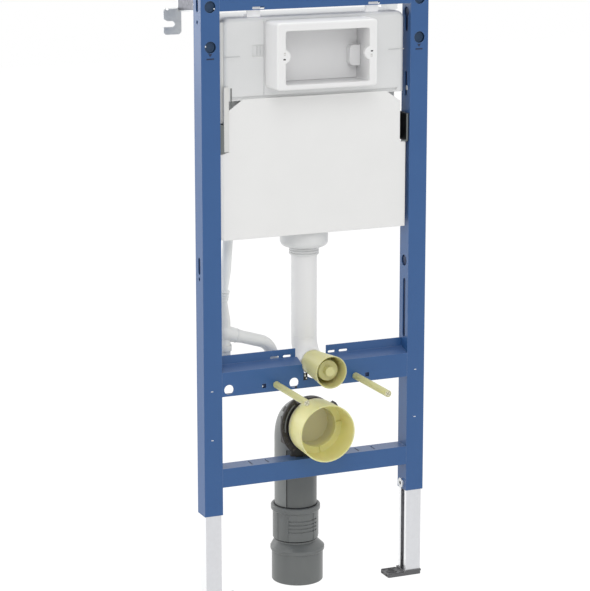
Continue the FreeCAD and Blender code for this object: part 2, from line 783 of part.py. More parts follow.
def waste_plug():
    """A thin protective cup over the waste socket, with a deep well and short ribs around it."""
    wall = waste_plug_wall
    step_y = waste_plug_front + waste_plug_step
    floor_y = waste_plug_front + waste_well_floor
    skirt_radius = socket_radius + waste_plug_gap
    length = waste_plug_back - waste_plug_front
    body = cone(waste_plug_radius, waste_plug_back_radius, length, 0, waste_plug_front, waste_height,
                Y_AXIS)
    mouth = rod(waste_plug_back_radius - wall, waste_plug_step, 0, waste_plug_front, waste_height,
                Y_AXIS)
    flared = cone(waste_plug_radius - wall, waste_plug_back_radius - wall, waste_plug_step, 0,
                  waste_plug_front, waste_height, Y_AXIS)
    skirt = rod(skirt_radius, waste_plug_back - step_y - wall, 0, step_y + wall, waste_height, Y_AXIS)
    half_rib = waste_rib_thickness / 2
    well_outside = cone(waste_well_mouth + wall, waste_well_radius + wall, floor_y + wall - step_y, 0,
                        step_y, waste_height, Y_AXIS)
    well = cone(waste_well_mouth, waste_well_radius, floor_y - step_y, 0, step_y, waste_height, Y_AXIS)
    body = cut(fuse(cut(body, mouth, flared, skirt), well_outside), well)
    ribs = []
    for index in range(waste_plug_ribs):
        rib = block(waste_well_mouth, waste_plug_radius - wall / 2, step_y - waste_rib_length,
                    step_y, waste_height - half_rib, waste_height + half_rib)
        rib.rotate(Vector(0, 0, waste_height), Y_AXIS, waste_rib_angle + 360 / waste_plug_ribs * index)
        ribs.append(rib)
    return fuse(body, *ribs)


def waste_clamp():
    """The toothed ring that holds the waste socket, with a foot on the lower bar and two cheeks."""
    depth = clamp_back - clamp_front
    ring = rod(clamp_radius, depth, 0, clamp_front, waste_height, Y_AXIS)
    foot_top = waste_height - socket_radius
    foot = block(-clamp_foot_half, clamp_foot_half, clamp_front, clamp_back,
                 low_bar_bottom + low_bar_height, foot_top)
    ears = []
    for angle in (-clamp_ear_angle, clamp_ear_angle - 180):
        ear = block(socket_radius + waste_plug_gap, clamp_ear_reach, clamp_front, clamp_back,
                    waste_height - clamp_ear_width / 2, waste_height + clamp_ear_width / 2)
        ear.rotate(Vector(0, 0, waste_height), Y_AXIS, angle)
        ears.append(ear)
    cheek = block(0, clamp_cheek_reach, clamp_front, clamp_back,
                  waste_height - clamp_cheek_below, waste_height + clamp_cheek_above)
    teeth = []
    for index in range(clamp_teeth):
        tooth = block(clamp_radius - clamp_tooth, clamp_radius, clamp_front, clamp_front + clamp_tooth_length,
                      waste_height - clamp_tooth, waste_height + clamp_tooth)
        tooth.rotate(Vector(0, 0, waste_height), Y_AXIS, 360 / clamp_teeth * (index + 0.5))
        teeth.append(tooth)
    bore = rod(socket_radius + waste_plug_gap, depth, 0, clamp_front, waste_height, Y_AXIS)
    return cut(fuse(cut(ring, *teeth), foot, cheek, mirrored(cheek), *ears), bore)


def waste_sleeve():
    """The grooved sleeve on the lower end of the waste bend."""
    body = rod(sleeve_body_radius, sleeve_ring_bottom - sleeve_body_bottom, 0, waste_y,
               sleeve_body_bottom, Z_AXIS)
    ring = rod(sleeve_ring_radius, sleeve_ring_top - sleeve_ring_bottom, 0, waste_y,
               sleeve_ring_bottom, Z_AXIS)
    ring = ring.makeFillet(sleeve_ring_edge, lowest_edges(ring) + highest_edges(ring))
    upper_bore = rod(waste_outer_radius + pipe_gap, sleeve_ring_top - sleeve_ring_bottom, 0, waste_y,
                     sleeve_ring_bottom, Z_AXIS)
    lower_bore = rod(waste_outer_radius - waste_wall, sleeve_ring_bottom - sleeve_body_bottom, 0,
                     waste_y, sleeve_body_bottom, Z_AXIS)
    grooves = []
    w = groove_half_width
    r = sleeve_body_radius
    for index in range(groove_count):
        z = groove_top - index * groove_pitch - groove_width
        groove = pipe(r, groove_depth, groove_width, 0, waste_y, z, Z_AXIS)
        grooves.append(groove.common(block(-w, w, waste_y - r, waste_y + r, z, z + groove_width)))
    return cut(fuse(body, ring), upper_bore, lower_bore, *grooves)


def level_cone(radius_low, low, radius_top, top):
    """A round solid between two level circles that may stand to the side of each other."""
    circles = [Part.Wire(Part.makeCircle(radius, place, Z_AXIS))
               for radius, place in ((radius_low, low), (radius_top, top))]
    return Part.makeLoft(circles, True)


def waste_reducer():
    """The last piece: a short neck, an eccentric flare with a rim, and a body of the drain's size."""
    neck_bottom_z = sleeve_body_bottom - reducer_neck
    cone_bottom = neck_bottom_z - reducer_cone
    rim_bottom = cone_bottom - reducer_rim
    inner = waste_outer_radius - waste_wall
    low = Vector(0, reducer_y, cone_bottom)
    top = Vector(0, waste_y, neck_bottom_z)
    drain_bore = reducer_radius - reducer_wall
    neck = rod(reducer_neck_radius, reducer_neck, 0, waste_y, neck_bottom_z, Z_AXIS)
    flare = level_cone(reducer_rim_radius, low, reducer_neck_radius, top)
    rim = rod(reducer_rim_radius, reducer_rim, 0, reducer_y, rim_bottom, Z_AXIS)
    rim = rim.makeFillet(reducer_rim_edge, lowest_edges(rim))
    body = rod(reducer_radius, cone_bottom - reducer_bottom, 0, reducer_y, reducer_bottom, Z_AXIS)
    body = body.makeFillet(reducer_edge, lowest_edges(body))
    neck_bore = rod(inner, reducer_neck, 0, waste_y, neck_bottom_z, Z_AXIS)
    flare_bore = level_cone(drain_bore, low, inner, top)
    bore = rod(drain_bore, cone_bottom - reducer_bottom, 0, reducer_y, reducer_bottom, Z_AXIS)
    return cut(fuse(neck, flare, rim, body), neck_bore, flare_bore, bore)


def lean_x(z):
    """The middle of the leaning conduit at one height."""
    share = (cistern_bottom - z) / (cistern_bottom - coupling_bottom)
    return conduit_top_x + (conduit_low_x - conduit_top_x) * share


def leaning(radius_low, z_low, radius_top, z_top):
    return level_cone(radius_low, Vector(lean_x(z_low), conduit_y, z_low), radius_top,
                      Vector(lean_x(z_top), conduit_y, z_top))


def conduit_tube():
    """The empty tube that hangs below the cistern and narrows to the coupling."""
    outer = fuse(leaning(conduit_radius, conduit_taper_top, conduit_radius, cistern_bottom),
                 leaning(conduit_neck_radius, coupling_top, conduit_radius, conduit_taper_top))
    bore = conduit_radius - conduit_wall
    neck = conduit_neck_radius - conduit_wall
    return cut(outer, leaning(bore, conduit_taper_top, bore, cistern_bottom),
               leaning(neck, coupling_top, bore, conduit_taper_top))


def conduit_coupling():
    """A short ribbed coupling."""
    groove = coupling_groove_radius
    bore = conduit_neck_radius - conduit_wall
    body = leaning(groove, coupling_bottom, groove, coupling_top)
    pitch = (coupling_top - coupling_bottom) / coupling_ribs
    ribs = []
    for index in range(coupling_ribs):
        z = coupling_bottom + (index + 1 / 4) * pitch
        radius = coupling_radius + (coupling_top_radius - coupling_radius) * index / (coupling_ribs - 1)
        ribs.append(leaning(radius, z, radius, z + pitch / 2))
    return cut(fuse(body, *ribs), leaning(bore, coupling_bottom, bore, coupling_top))


def branch_solid(inset):
    """The branch's outline, drawn in by a wall thickness, and the places of its arm's end."""
    slope = math.radians(arm_slope)
    ahead = Vector(math.cos(slope), 0, -math.sin(slope))
    inward = Vector(-math.sin(slope), 0, -math.cos(slope))
    start = Vector(branch_x, conduit_y, arm_height)
    turn = start + ahead * arm_run
    centre = turn + inward * arm_bend
    radius = arm_radius - inset
    shoulder = level_cone(branch_radius - inset, Vector(branch_x, conduit_y, branch_shoulder),
                          conduit_neck_radius - inset, Vector(conduit_low_x, conduit_y, coupling_bottom))
    lower = rod(branch_radius - inset, branch_shoulder - branch_bottom, branch_x, conduit_y,
                branch_bottom, Z_AXIS)
    root = Part.makeSphere(arm_root_radius - inset, start)
    flare = Part.makeCone(arm_root_radius - inset, radius, arm_flare, start, ahead)
    run = Part.makeCylinder(radius, arm_run - arm_flare, start + ahead * arm_flare, ahead)
    face = Part.Face(Part.Wire(Part.makeCircle(radius, turn, ahead)))
    bend = face.revolve(centre, Y_AXIS, 90 - arm_slope)
    drop = rod(radius, arm_drop, centre.x + arm_bend, conduit_y, centre.z, Z_AXIS * -1)
    return fuse(shoulder, lower, root, flare, run, bend, drop), centre


def conduit_branch():
    """A branch with a straight lower leg and an arm that curves down to the right."""
    outer, centre = branch_solid(0)
    inner, centre = branch_solid(conduit_wall)
    end = rod(branch_end_radius, branch_end, branch_x, conduit_y, branch_bottom + branch_end, Z_AXIS)
    grooves = []
    pitch = arm_drop / (arm_grooves + 1)
    for index in range(arm_grooves):
        z = centre.z - (index + 1) * pitch
        grooves.append(pipe(arm_radius, arm_groove_depth, pitch / 2, centre.x + arm_bend, conduit_y, z,
                            Z_AXIS))
    return cut(fuse(outer, end), inner, *grooves)


nodes = {
    "top_crossbar": top_crossbar(),
    "middle_crossbar": middle_crossbar(),
    "lower_crossbar": lower_crossbar(),
    "cistern_body": cistern_body(),
    "cistern_front_cover": cistern_front_cover(),
    "left_cistern_hanger": cistern_hanger(-1),
    "right_cistern_hanger": cistern_hanger(1),
    "service_box": service_box(),
    "service_plate": service_plate(),
    "outlet_collar": outlet_collar(),
    "flush_pipe": flush_pipe(),
    "flush_bend": flush_bend(),
    "flush_plug": flush_plug(),
    "waste_bend": waste_bend(),
    "waste_plug": waste_plug(),
    "waste_clamp": waste_clamp(),
    "waste_sleeve": waste_sleeve(),
    "waste_reducer": waste_reducer(),
    "conduit_tube": conduit_tube(),
    "conduit_coupling": conduit_coupling(),
    "conduit_branch": conduit_branch(),
}

pairs = {
    "upright": right_upright,
    "leg": right_leg,
    "foot_plate": right_foot_plate,
    "leg_lock_screw": right_lock_screw,
    "wall_plate": right_wall_plate,
    "wall_arm": right_wall_arm,
    "cistern_clip": right_cistern_clip,
    "stud": right_stud,
    "stud_sleeve": right_stud_sleeve,
    "stud_nut": right_stud_nut,
}
for name, build in pairs.items():
    shape = build()
    nodes["right_" + name] = shape
    nodes["left_" + name] = mirrored(shape)

for name, shape in sorted(nodes.items()):
    shape.translate(origin * -1)
    shape.exportStep("parts/" + name + ".step")
    print(name, "valid" if shape.isValid() else "NOT VALID", "solids", len(shape.Solids),
          "volume", round(shape.Volume / 1000, 1), "cm3")
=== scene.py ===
# %% [markdown]
# # A wall hung toilet frame
#
# A blue steel frame that is bolted to a wall and stands on two telescoping legs. It carries a flat
# cistern, a flush pipe, a waste bend and the two studs for the pan. The exact shapes come from the
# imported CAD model. This lesson adds the camera, the light, the finishes and the small details.

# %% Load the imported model
import math

import bmesh
import bpy
from mathutils import Matrix, Vector


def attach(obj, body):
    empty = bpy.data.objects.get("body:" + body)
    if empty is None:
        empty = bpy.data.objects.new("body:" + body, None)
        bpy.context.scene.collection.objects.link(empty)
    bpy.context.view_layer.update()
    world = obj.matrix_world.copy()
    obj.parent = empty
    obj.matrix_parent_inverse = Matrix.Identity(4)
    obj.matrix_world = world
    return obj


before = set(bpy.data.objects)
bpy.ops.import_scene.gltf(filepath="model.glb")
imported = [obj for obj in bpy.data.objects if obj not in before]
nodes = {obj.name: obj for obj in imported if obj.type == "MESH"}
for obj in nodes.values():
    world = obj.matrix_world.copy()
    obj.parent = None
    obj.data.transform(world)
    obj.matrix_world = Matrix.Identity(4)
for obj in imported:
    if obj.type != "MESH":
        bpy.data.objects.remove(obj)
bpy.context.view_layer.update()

# %% [markdown]
# The drawings of such a frame are in millimetres above the finished floor, left and right of its
# middle, and behind its front face. One helper turns such a place into the model's metres, so
# every number below can be read off a drawing.

# %% Places in millimetres
ORIGIN_MM = Vector((-230.0, 176.0, 1055.0))


def at(x, y, z):
    """A place in millimetres from the middle, the front face and the finished floor, in metres."""
    return (Vector((x, y, z)) - ORIGIN_MM) / 1000


print("the finished floor is at", round(at(0, 0, 0).z, 3), "m")

# %% [markdown]
# The camera stands to the left of the frame and a little above it, far away, so that the upright
# lines stay nearly parallel. It comes first, because all that follows is compared through it. Its
# lens is worked out from a focal length in pixels and the longer side of the picture.

# %% Camera
AZIMUTH = math.radians(-23.49)
ELEVATION = math.radians(12.78)
DISTANCE = 4.807
SENSOR_MM = 36
FOCAL_PIXELS = 2343
PICTURE_PIXELS = 591
target = at(-48.0, 0.0, 504.6)
away = Vector((math.sin(AZIMUTH) * math.cos(ELEVATION), -math.cos(AZIMUTH) * math.cos(ELEVATION),
               math.sin(ELEVATION)))
camera_data = bpy.data.cameras.new("camera")
camera_data.sensor_width = SENSOR_MM
camera_data.lens = SENSOR_MM * FOCAL_PIXELS / PICTURE_PIXELS
camera = bpy.data.objects.new("camera", camera_data)
camera.location = target + away * DISTANCE
camera.rotation_euler = (-away).to_track_quat("-Z", "Y").to_euler()
bpy.context.scene.collection.objects.link(camera)
bpy.context.scene.camera = camera
print("camera at", [round(value, 3) for value in camera.location], "lens",
      round(camera_data.lens, 1))

# %% [markdown]
# Colours are written as the hex values that a paint chart gives. Blender calculates with light,
# so one function turns them to linear values. A second small function adds a node with its
# settings and links; all the finishes below are made with it. A third turns the real size of a
# pattern into the scale of its node.

# %% Colour and node helpers
def linear(code):
    """An sRGB hex colour as linear red, green, blue and alpha."""
    values = [int(code[i:i + 2], 16) / 255 for i in (1, 3, 5)]
    return [v / 12.92 if v <= 0.04045 else ((v + 0.055) / 1.055) ** 2.4 for v in values] + [1.0]


def add(tree, kind, inputs=None, **settings):
    """Adds a node. Each input gets a value, or a link where it is another node's output."""
    node = tree.nodes.new(kind)
    for name, value in settings.items():
        setattr(node, name, value)
    for key, value in (inputs or {}).items():
        if isinstance(value, bpy.types.NodeSocket):
            tree.links.new(value, node.inputs[key])
        else:
            node.inputs[key].default_value = value
    return node


def per_mm(size_mm):
    """The scale that draws a pattern at a real size in millimetres."""
    return 1000 / size_mm


print("middle grey #808080 is", round(linear("#808080")[0], 3), "in linear light")

# %% [markdown]
# A product picture of such a frame has a white ground and soft light from all round. The world
# is plain white to the camera and in reflections, and a little dimmer as a light. Five large soft
# lamps stand in front, at both sides, behind and above, because the side faces are nearly as light
# as the front in such a picture. The floor lies where the feet end once the legs are pulled all
# the way out, at a height counted from the finished floor. It is white to the camera and in
# reflections, with a faint shadow.

# %% World, lamps and floor
WORLD_LIGHT = 0.74
FLOOR_GLOW = 1.12
FLOOR_GLOW_SHARE = 0.75
FLOOR_HALF_M = 9
LEGS_OUT_MM = -203
scene = bpy.context.scene
scene.view_settings.view_transform = "Standard"
world = bpy.data.worlds.new("studio")
world.use_nodes = True
scene.world = world
sky = world.node_tree
sky.nodes.clear()
path = add(sky, "ShaderNodeLightPath")
seen = add(sky, "ShaderNodeMath",
           {0: path.outputs["Is Camera Ray"], 1: path.outputs["Is Glossy Ray"]},
           operation="MAXIMUM")
seen = add(sky, "ShaderNodeMath", {0: seen.outputs[0], 1: path.outputs["Is Transmission Ray"]},
           operation="MAXIMUM")
strength = add(sky, "ShaderNodeMapRange",
               {"Value": seen.outputs[0], "To Min": WORLD_LIGHT, "To Max": 1.0})
ground = add(sky, "ShaderNodeBackground", {"Color": (1, 1, 1, 1), "Strength": strength.outputs[0]})
add(sky, "ShaderNodeOutputWorld", {"Surface": ground.outputs[0]})


def soft_lamp(name, place, size, watts, colour=(1, 1, 1)):
    """A square soft lamp that points at the middle of the frame."""
    data = bpy.data.lights.new(name, "AREA")
    data.color = colour
    data.size = size
    data.energy = watts
    lamp = bpy.data.objects.new(name, data)
    lamp.location = place
    lamp.rotation_euler = (at(0, 0, 500) - Vector(place)).to_track_quat("-Z", "Y").to_euler()
    scene.collection.objects.link(lamp)


soft_lamp("key_lamp", (-0.9, -3.4, 2.6), 2.0, 34)
soft_lamp("left_lamp", (-4.2, -0.4, 0.4), 2.4, 26, (1.0, 0.975, 0.93))
soft_lamp("right_lamp", (4.0, -1.2, 0.6), 2.4, 22)
soft_lamp("back_lamp", (-2.4, 3.8, 0.4), 2.4, 40)
soft_lamp("top_lamp", (-0.2, 0.1, 3.4), 1.6, 34)

floor_z = at(0, 0, LEGS_OUT_MM).z
floor_mesh = bpy.data.meshes.new("floor")
corners = [(x * FLOOR_HALF_M, y * FLOOR_HALF_M, floor_z)
           for x, y in ((-1, -1), (1, -1), (1, 1), (-1, 1))]
floor_mesh.from_pydata(corners, [], [(0, 1, 2, 3)])
floor = bpy.data.objects.new("floor", floor_mesh)
scene.collection.objects.link(floor)
paper = bpy.data.materials.new("floor_paper")
paper.use_nodes = True
tree = paper.node_tree
tree.nodes.clear()
path = add(tree, "ShaderNodeLightPath")
matt = add(tree, "ShaderNodeBsdfDiffuse", {"Color": linear("#F2F2F2")})
glow = add(tree, "ShaderNodeEmission", {"Color": (1, 1, 1, 1), "Strength": FLOOR_GLOW})
seen = add(tree, "ShaderNodeMath",
           {0: path.outputs["Is Camera Ray"], 1: path.outputs["Is Glossy Ray"]},
           operation="MAXIMUM")
share = add(tree, "ShaderNodeMath", {0: seen.outputs[0], 1: FLOOR_GLOW_SHARE},
            operation="MULTIPLY")
mixed = add(tree, "ShaderNodeMixShader",
            {0: share.outputs[0], 1: matt.outputs[0], 2: glow.outputs[0]})
add(tree, "ShaderNodeOutputMaterial", {"Surface": mixed.outputs[0]})
floor_mesh.materials.append(paper)
print("floor at", round(floor_z, 4), "m, five soft lamps")

# %% [markdown]
# Every real edge is a little round and catches light, and paint and plastic are thinnest and
# most rubbed there. The Bevel node gives a rounded normal near edges without touching the mesh.
# Where that normal leaves the flat one, there is an edge, and the difference is the wear mask.

# %% Material start and edge mask
FLAT_COSINE, ROUND_COSINE = 0.995, 0.8


def new_finish(name):
    """An empty material with its shader, output and the model's own coordinates."""
    material = bpy.data.materials.new(name)
    material.use_nodes = True
    tree = material.node_tree
    tree.nodes.clear()
    shader = add(tree, "ShaderNodeBsdfPrincipled")
    add(tree, "ShaderNodeOutputMaterial", {"Surface": shader.outputs[0]})
    place = add(tree, "ShaderNodeTexCoord").outputs["Object"]
    return material, tree, shader, place


def soft_edges(tree, radius_mm):
    """A normal that is rounded at edges, and a mask that is 1 there and 0 on flat faces."""
    rounded = add(tree, "ShaderNodeBevel", {"Radius": radius_mm / 1000}, samples=6)
    flat = add(tree, "ShaderNodeNewGeometry")
    same = add(tree, "ShaderNodeVectorMath", {0: rounded.outputs[0], 1: flat.outputs["Normal"]},
               operation="DOT_PRODUCT")
    mask = add(tree, "ShaderNodeMapRange", {"Value": same.outputs["Value"],
                                            "From Min": FLAT_COSINE, "From Max": ROUND_COSINE})
    return rounded.outputs[0], mask.outputs[0]


print("edge mask ready")

# %% [markdown]
# The frame is mild steel with a **polyester powder coat**. The powder is sprayed on dry and melts
# in an oven, which leaves a satin film with a fine orange-peel texture. Its grain is 1 mm or less
# on the real thing; it is drawn 3 mm wide so that it shows. Edges hold less powder and are rubbed
# lighter in transport. The faces that look up are painted paler and greyer, a painted reflection
# of the white surroundings.

# %% Blue powder coat
powder_coat, tree, shader, place = new_finish("polyester_powder_coat_blue")
normal, edge = soft_edges(tree, 1.2)
cloud = add(tree, "ShaderNodeTexNoise", {"Vector": place, "Scale": per_mm(90), "Detail": 3.0})
tone = add(tree, "ShaderNodeMix",
           {0: cloud.outputs[0], 6: linear("#2A558B"), 7: linear("#325C91")},
           data_type="RGBA")
# Faces that look up get a paler, greyer tone: a painted reflection of the white surroundings.
facing = add(tree, "ShaderNodeSeparateXYZ",
             {0: add(tree, "ShaderNodeNewGeometry").outputs["Normal"]})
painted_top_sheen = add(tree, "ShaderNodeMapRange",
           {"Value": facing.outputs[2], "From Min": 0.5, "From Max": 0.9,
                                        "To Max": 0.2})
tone = add(tree, "ShaderNodeMix", {0: painted_top_sheen.outputs[0], 6: tone.outputs[2], 7: linear("#7F8AA8")},
           data_type="RGBA")
rubbed = add(tree, "ShaderNodeTexNoise", {"Vector": place, "Scale": per_mm(12), "Detail": 4.0})
worn = add(tree, "ShaderNodeMath", {0: edge, 1: rubbed.outputs[0]}, operation="MULTIPLY")
colour = add(tree, "ShaderNodeMix", {0: worn.outputs[0], 6: tone.outputs[2], 7: linear("#7E93BE")},
             data_type="RGBA")
gloss = add(tree, "ShaderNodeMapRange",
            {"Value": cloud.outputs[0], "To Min": 0.36, "To Max": 0.46})
peel = add(tree, "ShaderNodeTexNoise", {"Vector": place, "Scale": per_mm(3), "Detail": 1.0})
bump = add(tree, "ShaderNodeBump",
           {"Height": peel.outputs[0], "Distance": 0.00008, "Strength": 0.35,
                                    "Normal": normal})
tree.links.new(colour.outputs[2], shader.inputs["Base Color"])
tree.links.new(gloss.outputs[0], shader.inputs["Roughness"])
tree.links.new(bump.outputs[0], shader.inputs["Normal"])
shader.inputs["Specular IOR Level"].default_value = 0.35
shader.inputs["Coat Weight"].default_value = 0.25
shader.inputs["Coat Roughness"].default_value = 0.2
print("made", powder_coat.name)

# %% [markdown]
# Legs, brackets, studs and screws are **galvanised steel**. Zinc from the bath freezes in flat
# crystals of 5 to 10 mm, the spangle. Each crystal mirrors a little differently, so the finish
# changes in tone and gloss from cell to cell, with fine drawing lines along the profile.

# %% Galvanised steel
def zinc_finish(name, light_tone, dark_tone, roughness, side_sheen_tone=None):
    """Zinc on steel: spangle cells, drawing lines, brighter edges, and sides with a painted
    reflection.
    """
    material, tree, shader, place = new_finish(name)
    normal, edge = soft_edges(tree, 0.8)
    cells = add(tree, "ShaderNodeTexVoronoi", {"Vector": place, "Scale": per_mm(7)})
    spread = add(tree, "ShaderNodeSeparateColor", {"Color": cells.outputs["Color"]})
    tone = add(tree, "ShaderNodeMix",
               {0: spread.outputs[0], 6: linear(dark_tone), 7: linear(light_tone)},
               data_type="RGBA")
    # Faces that look left or right get a paler tone: a painted reflection of the white
    # surroundings.
    if side_sheen_tone:
        facing = add(tree, "ShaderNodeSeparateXYZ",
                     {0: add(tree, "ShaderNodeNewGeometry").outputs["Normal"]})
        side_sheen_share = add(tree, "ShaderNodeMath", {0: facing.outputs[0]}, operation="ABSOLUTE")
        tone = add(tree, "ShaderNodeMix",
                   {0: side_sheen_share.outputs[0], 6: tone.outputs[2], 7: linear(side_sheen_tone)},
                   data_type="RGBA")
    colour = add(tree, "ShaderNodeMix", {0: edge, 6: tone.outputs[2], 7: linear("#F2F3F4")},
                 data_type="RGBA")
    play = 0.012 if side_sheen_tone else 0.045
    gloss = add(tree, "ShaderNodeMapRange",
                {"Value": spread.outputs[1], "To Min": roughness - play,
                                             "To Max": roughness + play})
    stretch = add(tree, "ShaderNodeMapping",
                  {"Vector": place, "Scale": (per_mm(0.8), per_mm(0.8), per_mm(50))})
    lines = add(tree, "ShaderNodeTexNoise",
                {"Vector": stretch.outputs[0], "Scale": 1.0, "Detail": 2.0})
    bump = add(tree, "ShaderNodeBump", {"Height": lines.outputs[0], "Distance": 0.00003,
                                        "Strength": 0.3, "Normal": normal})
    shader.inputs["Metallic"].default_value = 1.0
    tree.links.new(colour.outputs[2], shader.inputs["Base Color"])
    tree.links.new(gloss.outputs[0], shader.inputs["Roughness"])
    tree.links.new(bump.outputs[0], shader.inputs["Normal"])
    return material


leg_zinc = zinc_finish("galvanised_steel_painted_side_sheen", "#D8D9DC", "#D5D6D9", 0.42, side_sheen_tone="#FAFBFC")
bright_zinc = zinc_finish("galvanised_steel_bright", "#E6E8E8", "#DCDEDF", 0.42)
# The wall arms get the same zinc in a much darker tone, a painted shade.
shaded_zinc = zinc_finish("galvanised_steel_painted_shade", "#818289", "#73747B", 0.48)
print("made", leg_zinc.name, bright_zinc.name, "and", shaded_zinc.name)

# %% [markdown]
# Cistern, pipes, plugs and feet are moulded plastics. They differ in colour, in gloss and in how
# deep light goes in, but share the same traces of moulding: a faint pebble from the tool, slow
# changes of tone where the wall is thicker, and soft, slightly paler edges. So they share a
# function, and each gets the values of its own plastic. An IOR of 1.5 fits all of them.

# %% Moulded plastics
BOX_MIDDLE_MM = 1000
FLOOR_SHADE_RAMP, HOLLOW_SHADE_RAMP, CREST_LIGHT_RISE, CREST_LIGHT_RAMP = 0.016, 0.03, 0.004, 0.006


def moulded(name, tone_a, tone_b, edge_tone, roughness, pebble_mm, pebble_height_mm, edge_mm=1.5,
            glow=0.0, floor=None, hollow_shade=None, crest_light=None, painted_glow=0.0):
    """A moulded plastic with a drift between two tones, a pebbled skin and its own edge tone.

    A floor is a painted shade: the darker tone of all that lies behind a depth in millimetres,
    such as a plug's bottom. A hollow shade is a painted shade: the darker tone inside an opening
    round the service box's middle, with its half width, half height and the depth of its front. A
    crest light is a painted light: the paler tone above a height and in front of a depth. A
    painted glow is an emission on a thin part that stands in for light from behind. The ramps from
    one tone to the next are in metres.
    """
    material, tree, shader, place = new_finish(name)
    normal, edge = soft_edges(tree, edge_mm)
    drift = add(tree, "ShaderNodeTexNoise", {"Vector": place, "Scale": per_mm(70), "Detail": 3.0})
    tone = add(tree, "ShaderNodeMix", {0: drift.outputs[0], 6: linear(tone_a), 7: linear(tone_b)},
               data_type="RGBA")
    # The floor tone paints shade on all that lies deep behind a depth.
    if floor:
        depth = add(tree, "ShaderNodeSeparateXYZ", {0: place})
        start = at(0, floor[1], 0).y
        floor_shade_share = add(tree, "ShaderNodeMapRange",
                    {"Value": depth.outputs[1], "From Min": start - FLOOR_SHADE_RAMP,
                                                 "From Max": start})
        tone = add(tree, "ShaderNodeMix",
                   {0: floor_shade_share.outputs[0], 6: tone.outputs[2], 7: linear(floor[0])},
                   data_type="RGBA")
    # The hollow shade paints a darker tone inside the service box's opening.
    if hollow_shade:
        hollow_shade_tone, half_width, half_height, front_mm = hollow_shade
        middle = at(0, front_mm, BOX_MIDDLE_MM)
        spot = add(tree, "ShaderNodeSeparateXYZ", {0: place})
        share = add(tree, "ShaderNodeMapRange", {"Value": spot.outputs[1], "From Min": middle.y,
                                                 "From Max": middle.y + HOLLOW_SHADE_RAMP}).outputs[0]
        for axis, centre, reach in ((0, middle.x, half_width), (2, middle.z, half_height)):
            off = add(tree, "ShaderNodeMath", {0: spot.outputs[axis], 1: centre},
                      operation="SUBTRACT")
            off = add(tree, "ShaderNodeMath", {0: off.outputs[0]}, operation="ABSOLUTE")
            within = add(tree, "ShaderNodeMath", {0: off.outputs[0], 1: reach / 1000},
                         operation="LESS_THAN")
            share = add(tree, "ShaderNodeMath", {0: share, 1: within.outputs[0]},
                        operation="MULTIPLY").outputs[0]
        tone = add(tree, "ShaderNodeMix", {0: share, 6: tone.outputs[2], 7: linear(hollow_shade_tone)},
                   data_type="RGBA")
    # The crest light paints a paler tone over the shade on the upper front edge.
    if crest_light:
        crest_light_tone, height_mm, back_mm = crest_light
        spot = add(tree, "ShaderNodeSeparateXYZ", {0: place})
        height, back = at(0, 0, height_mm).z, at(0, back_mm, 0).y
        above = add(tree, "ShaderNodeMapRange", {"Value": spot.outputs[2], "From Min": height,
                                                 "From Max": height + CREST_LIGHT_RISE})
        before = add(tree, "ShaderNodeMapRange",
                     {"Value": spot.outputs[1], "From Min": back + CREST_LIGHT_RAMP,
                                                  "From Max": back})
        share = add(tree, "ShaderNodeMath", {0: above.outputs[0], 1: before.outputs[0]},
                    operation="MULTIPLY")
        tone = add(tree, "ShaderNodeMix",
                   {0: share.outputs[0], 6: tone.outputs[2], 7: linear(crest_light_tone)},
                   data_type="RGBA")
    soft = add(tree, "ShaderNodeMath", {0: edge, 1: 0.7}, operation="MULTIPLY")
    colour = add(tree, "ShaderNodeMix",
                 {0: soft.outputs[0], 6: tone.outputs[2], 7: linear(edge_tone)},
                 data_type="RGBA")
    gloss = add(tree, "ShaderNodeMapRange", {"Value": drift.outputs[0], "To Min": roughness - 0.04,
                                             "To Max": roughness + 0.05})
    pebble = add(tree, "ShaderNodeTexNoise",
                 {"Vector": place, "Scale": per_mm(pebble_mm), "Detail": 2.0})
    bump = add(tree, "ShaderNodeBump",
               {"Height": pebble.outputs[0], "Distance": pebble_height_mm / 1000,
                                        "Strength": 0.3, "Normal": normal})
    tree.links.new(colour.outputs[2], shader.inputs["Base Color"])
    tree.links.new(gloss.outputs[0], shader.inputs["Roughness"])
    tree.links.new(bump.outputs[0], shader.inputs["Normal"])
    shader.inputs["IOR"].default_value = 1.5
    # The painted glow is an emission that stands in for light from behind.
    if painted_glow:
        shader.inputs["Emission Color"].default_value = (1, 1, 1, 1)
        shader.inputs["Emission Strength"].default_value = painted_glow
    if glow:
        shader.inputs["Subsurface Weight"].default_value = glow
        shader.inputs["Subsurface Radius"].default_value = (1.0, 0.8, 0.3)
        shader.inputs["Subsurface Scale"].default_value = 0.004
    return material


print("moulded plastic ready")

# %% [markdown]
# Each plastic of the frame gets its own values: its name, its two tones, its edge tone, its
# roughness, and the width and height of its pebble in millimetres. The names say which plastic it
# is and how it was shaped.

# %% The plastics of the frame
# Blow-moulded polyethylene: waxy and matt, with a clear pebble. The upper front edge gets a
# painted light, a paler tone where the top crossbar shades it.
tank_skin = moulded("polyethylene_blow_moulded_white", "#D8D9D9", "#DEDFDF", "#E6E6E4", 0.5, 2.5,
                    0.12, crest_light=("#FFFFFF", 1072.0, 38.0))
ear_skin = moulded("polyethylene_raised_ear", "#D6D6D3", "#DADAD7", "#E2E2E0", 0.5, 2.5, 0.08,
                   edge_mm=1.0)
# The raised lines' darker tone is painted shade along them.
line_shade_skin = moulded("polyethylene_raised_line_painted_shade", "#C6C7C8", "#CCCDCE", "#D4D5D6", 0.5, 2.5, 0.05,
                    edge_mm=0.4)
# Injection-moulded polystyrene: smooth and a little brighter.
cover_skin = moulded("polystyrene_sheet_white", "#E6E6E5", "#EAEAE9", "#F0F0F0", 0.45, 3.5, 0.05)
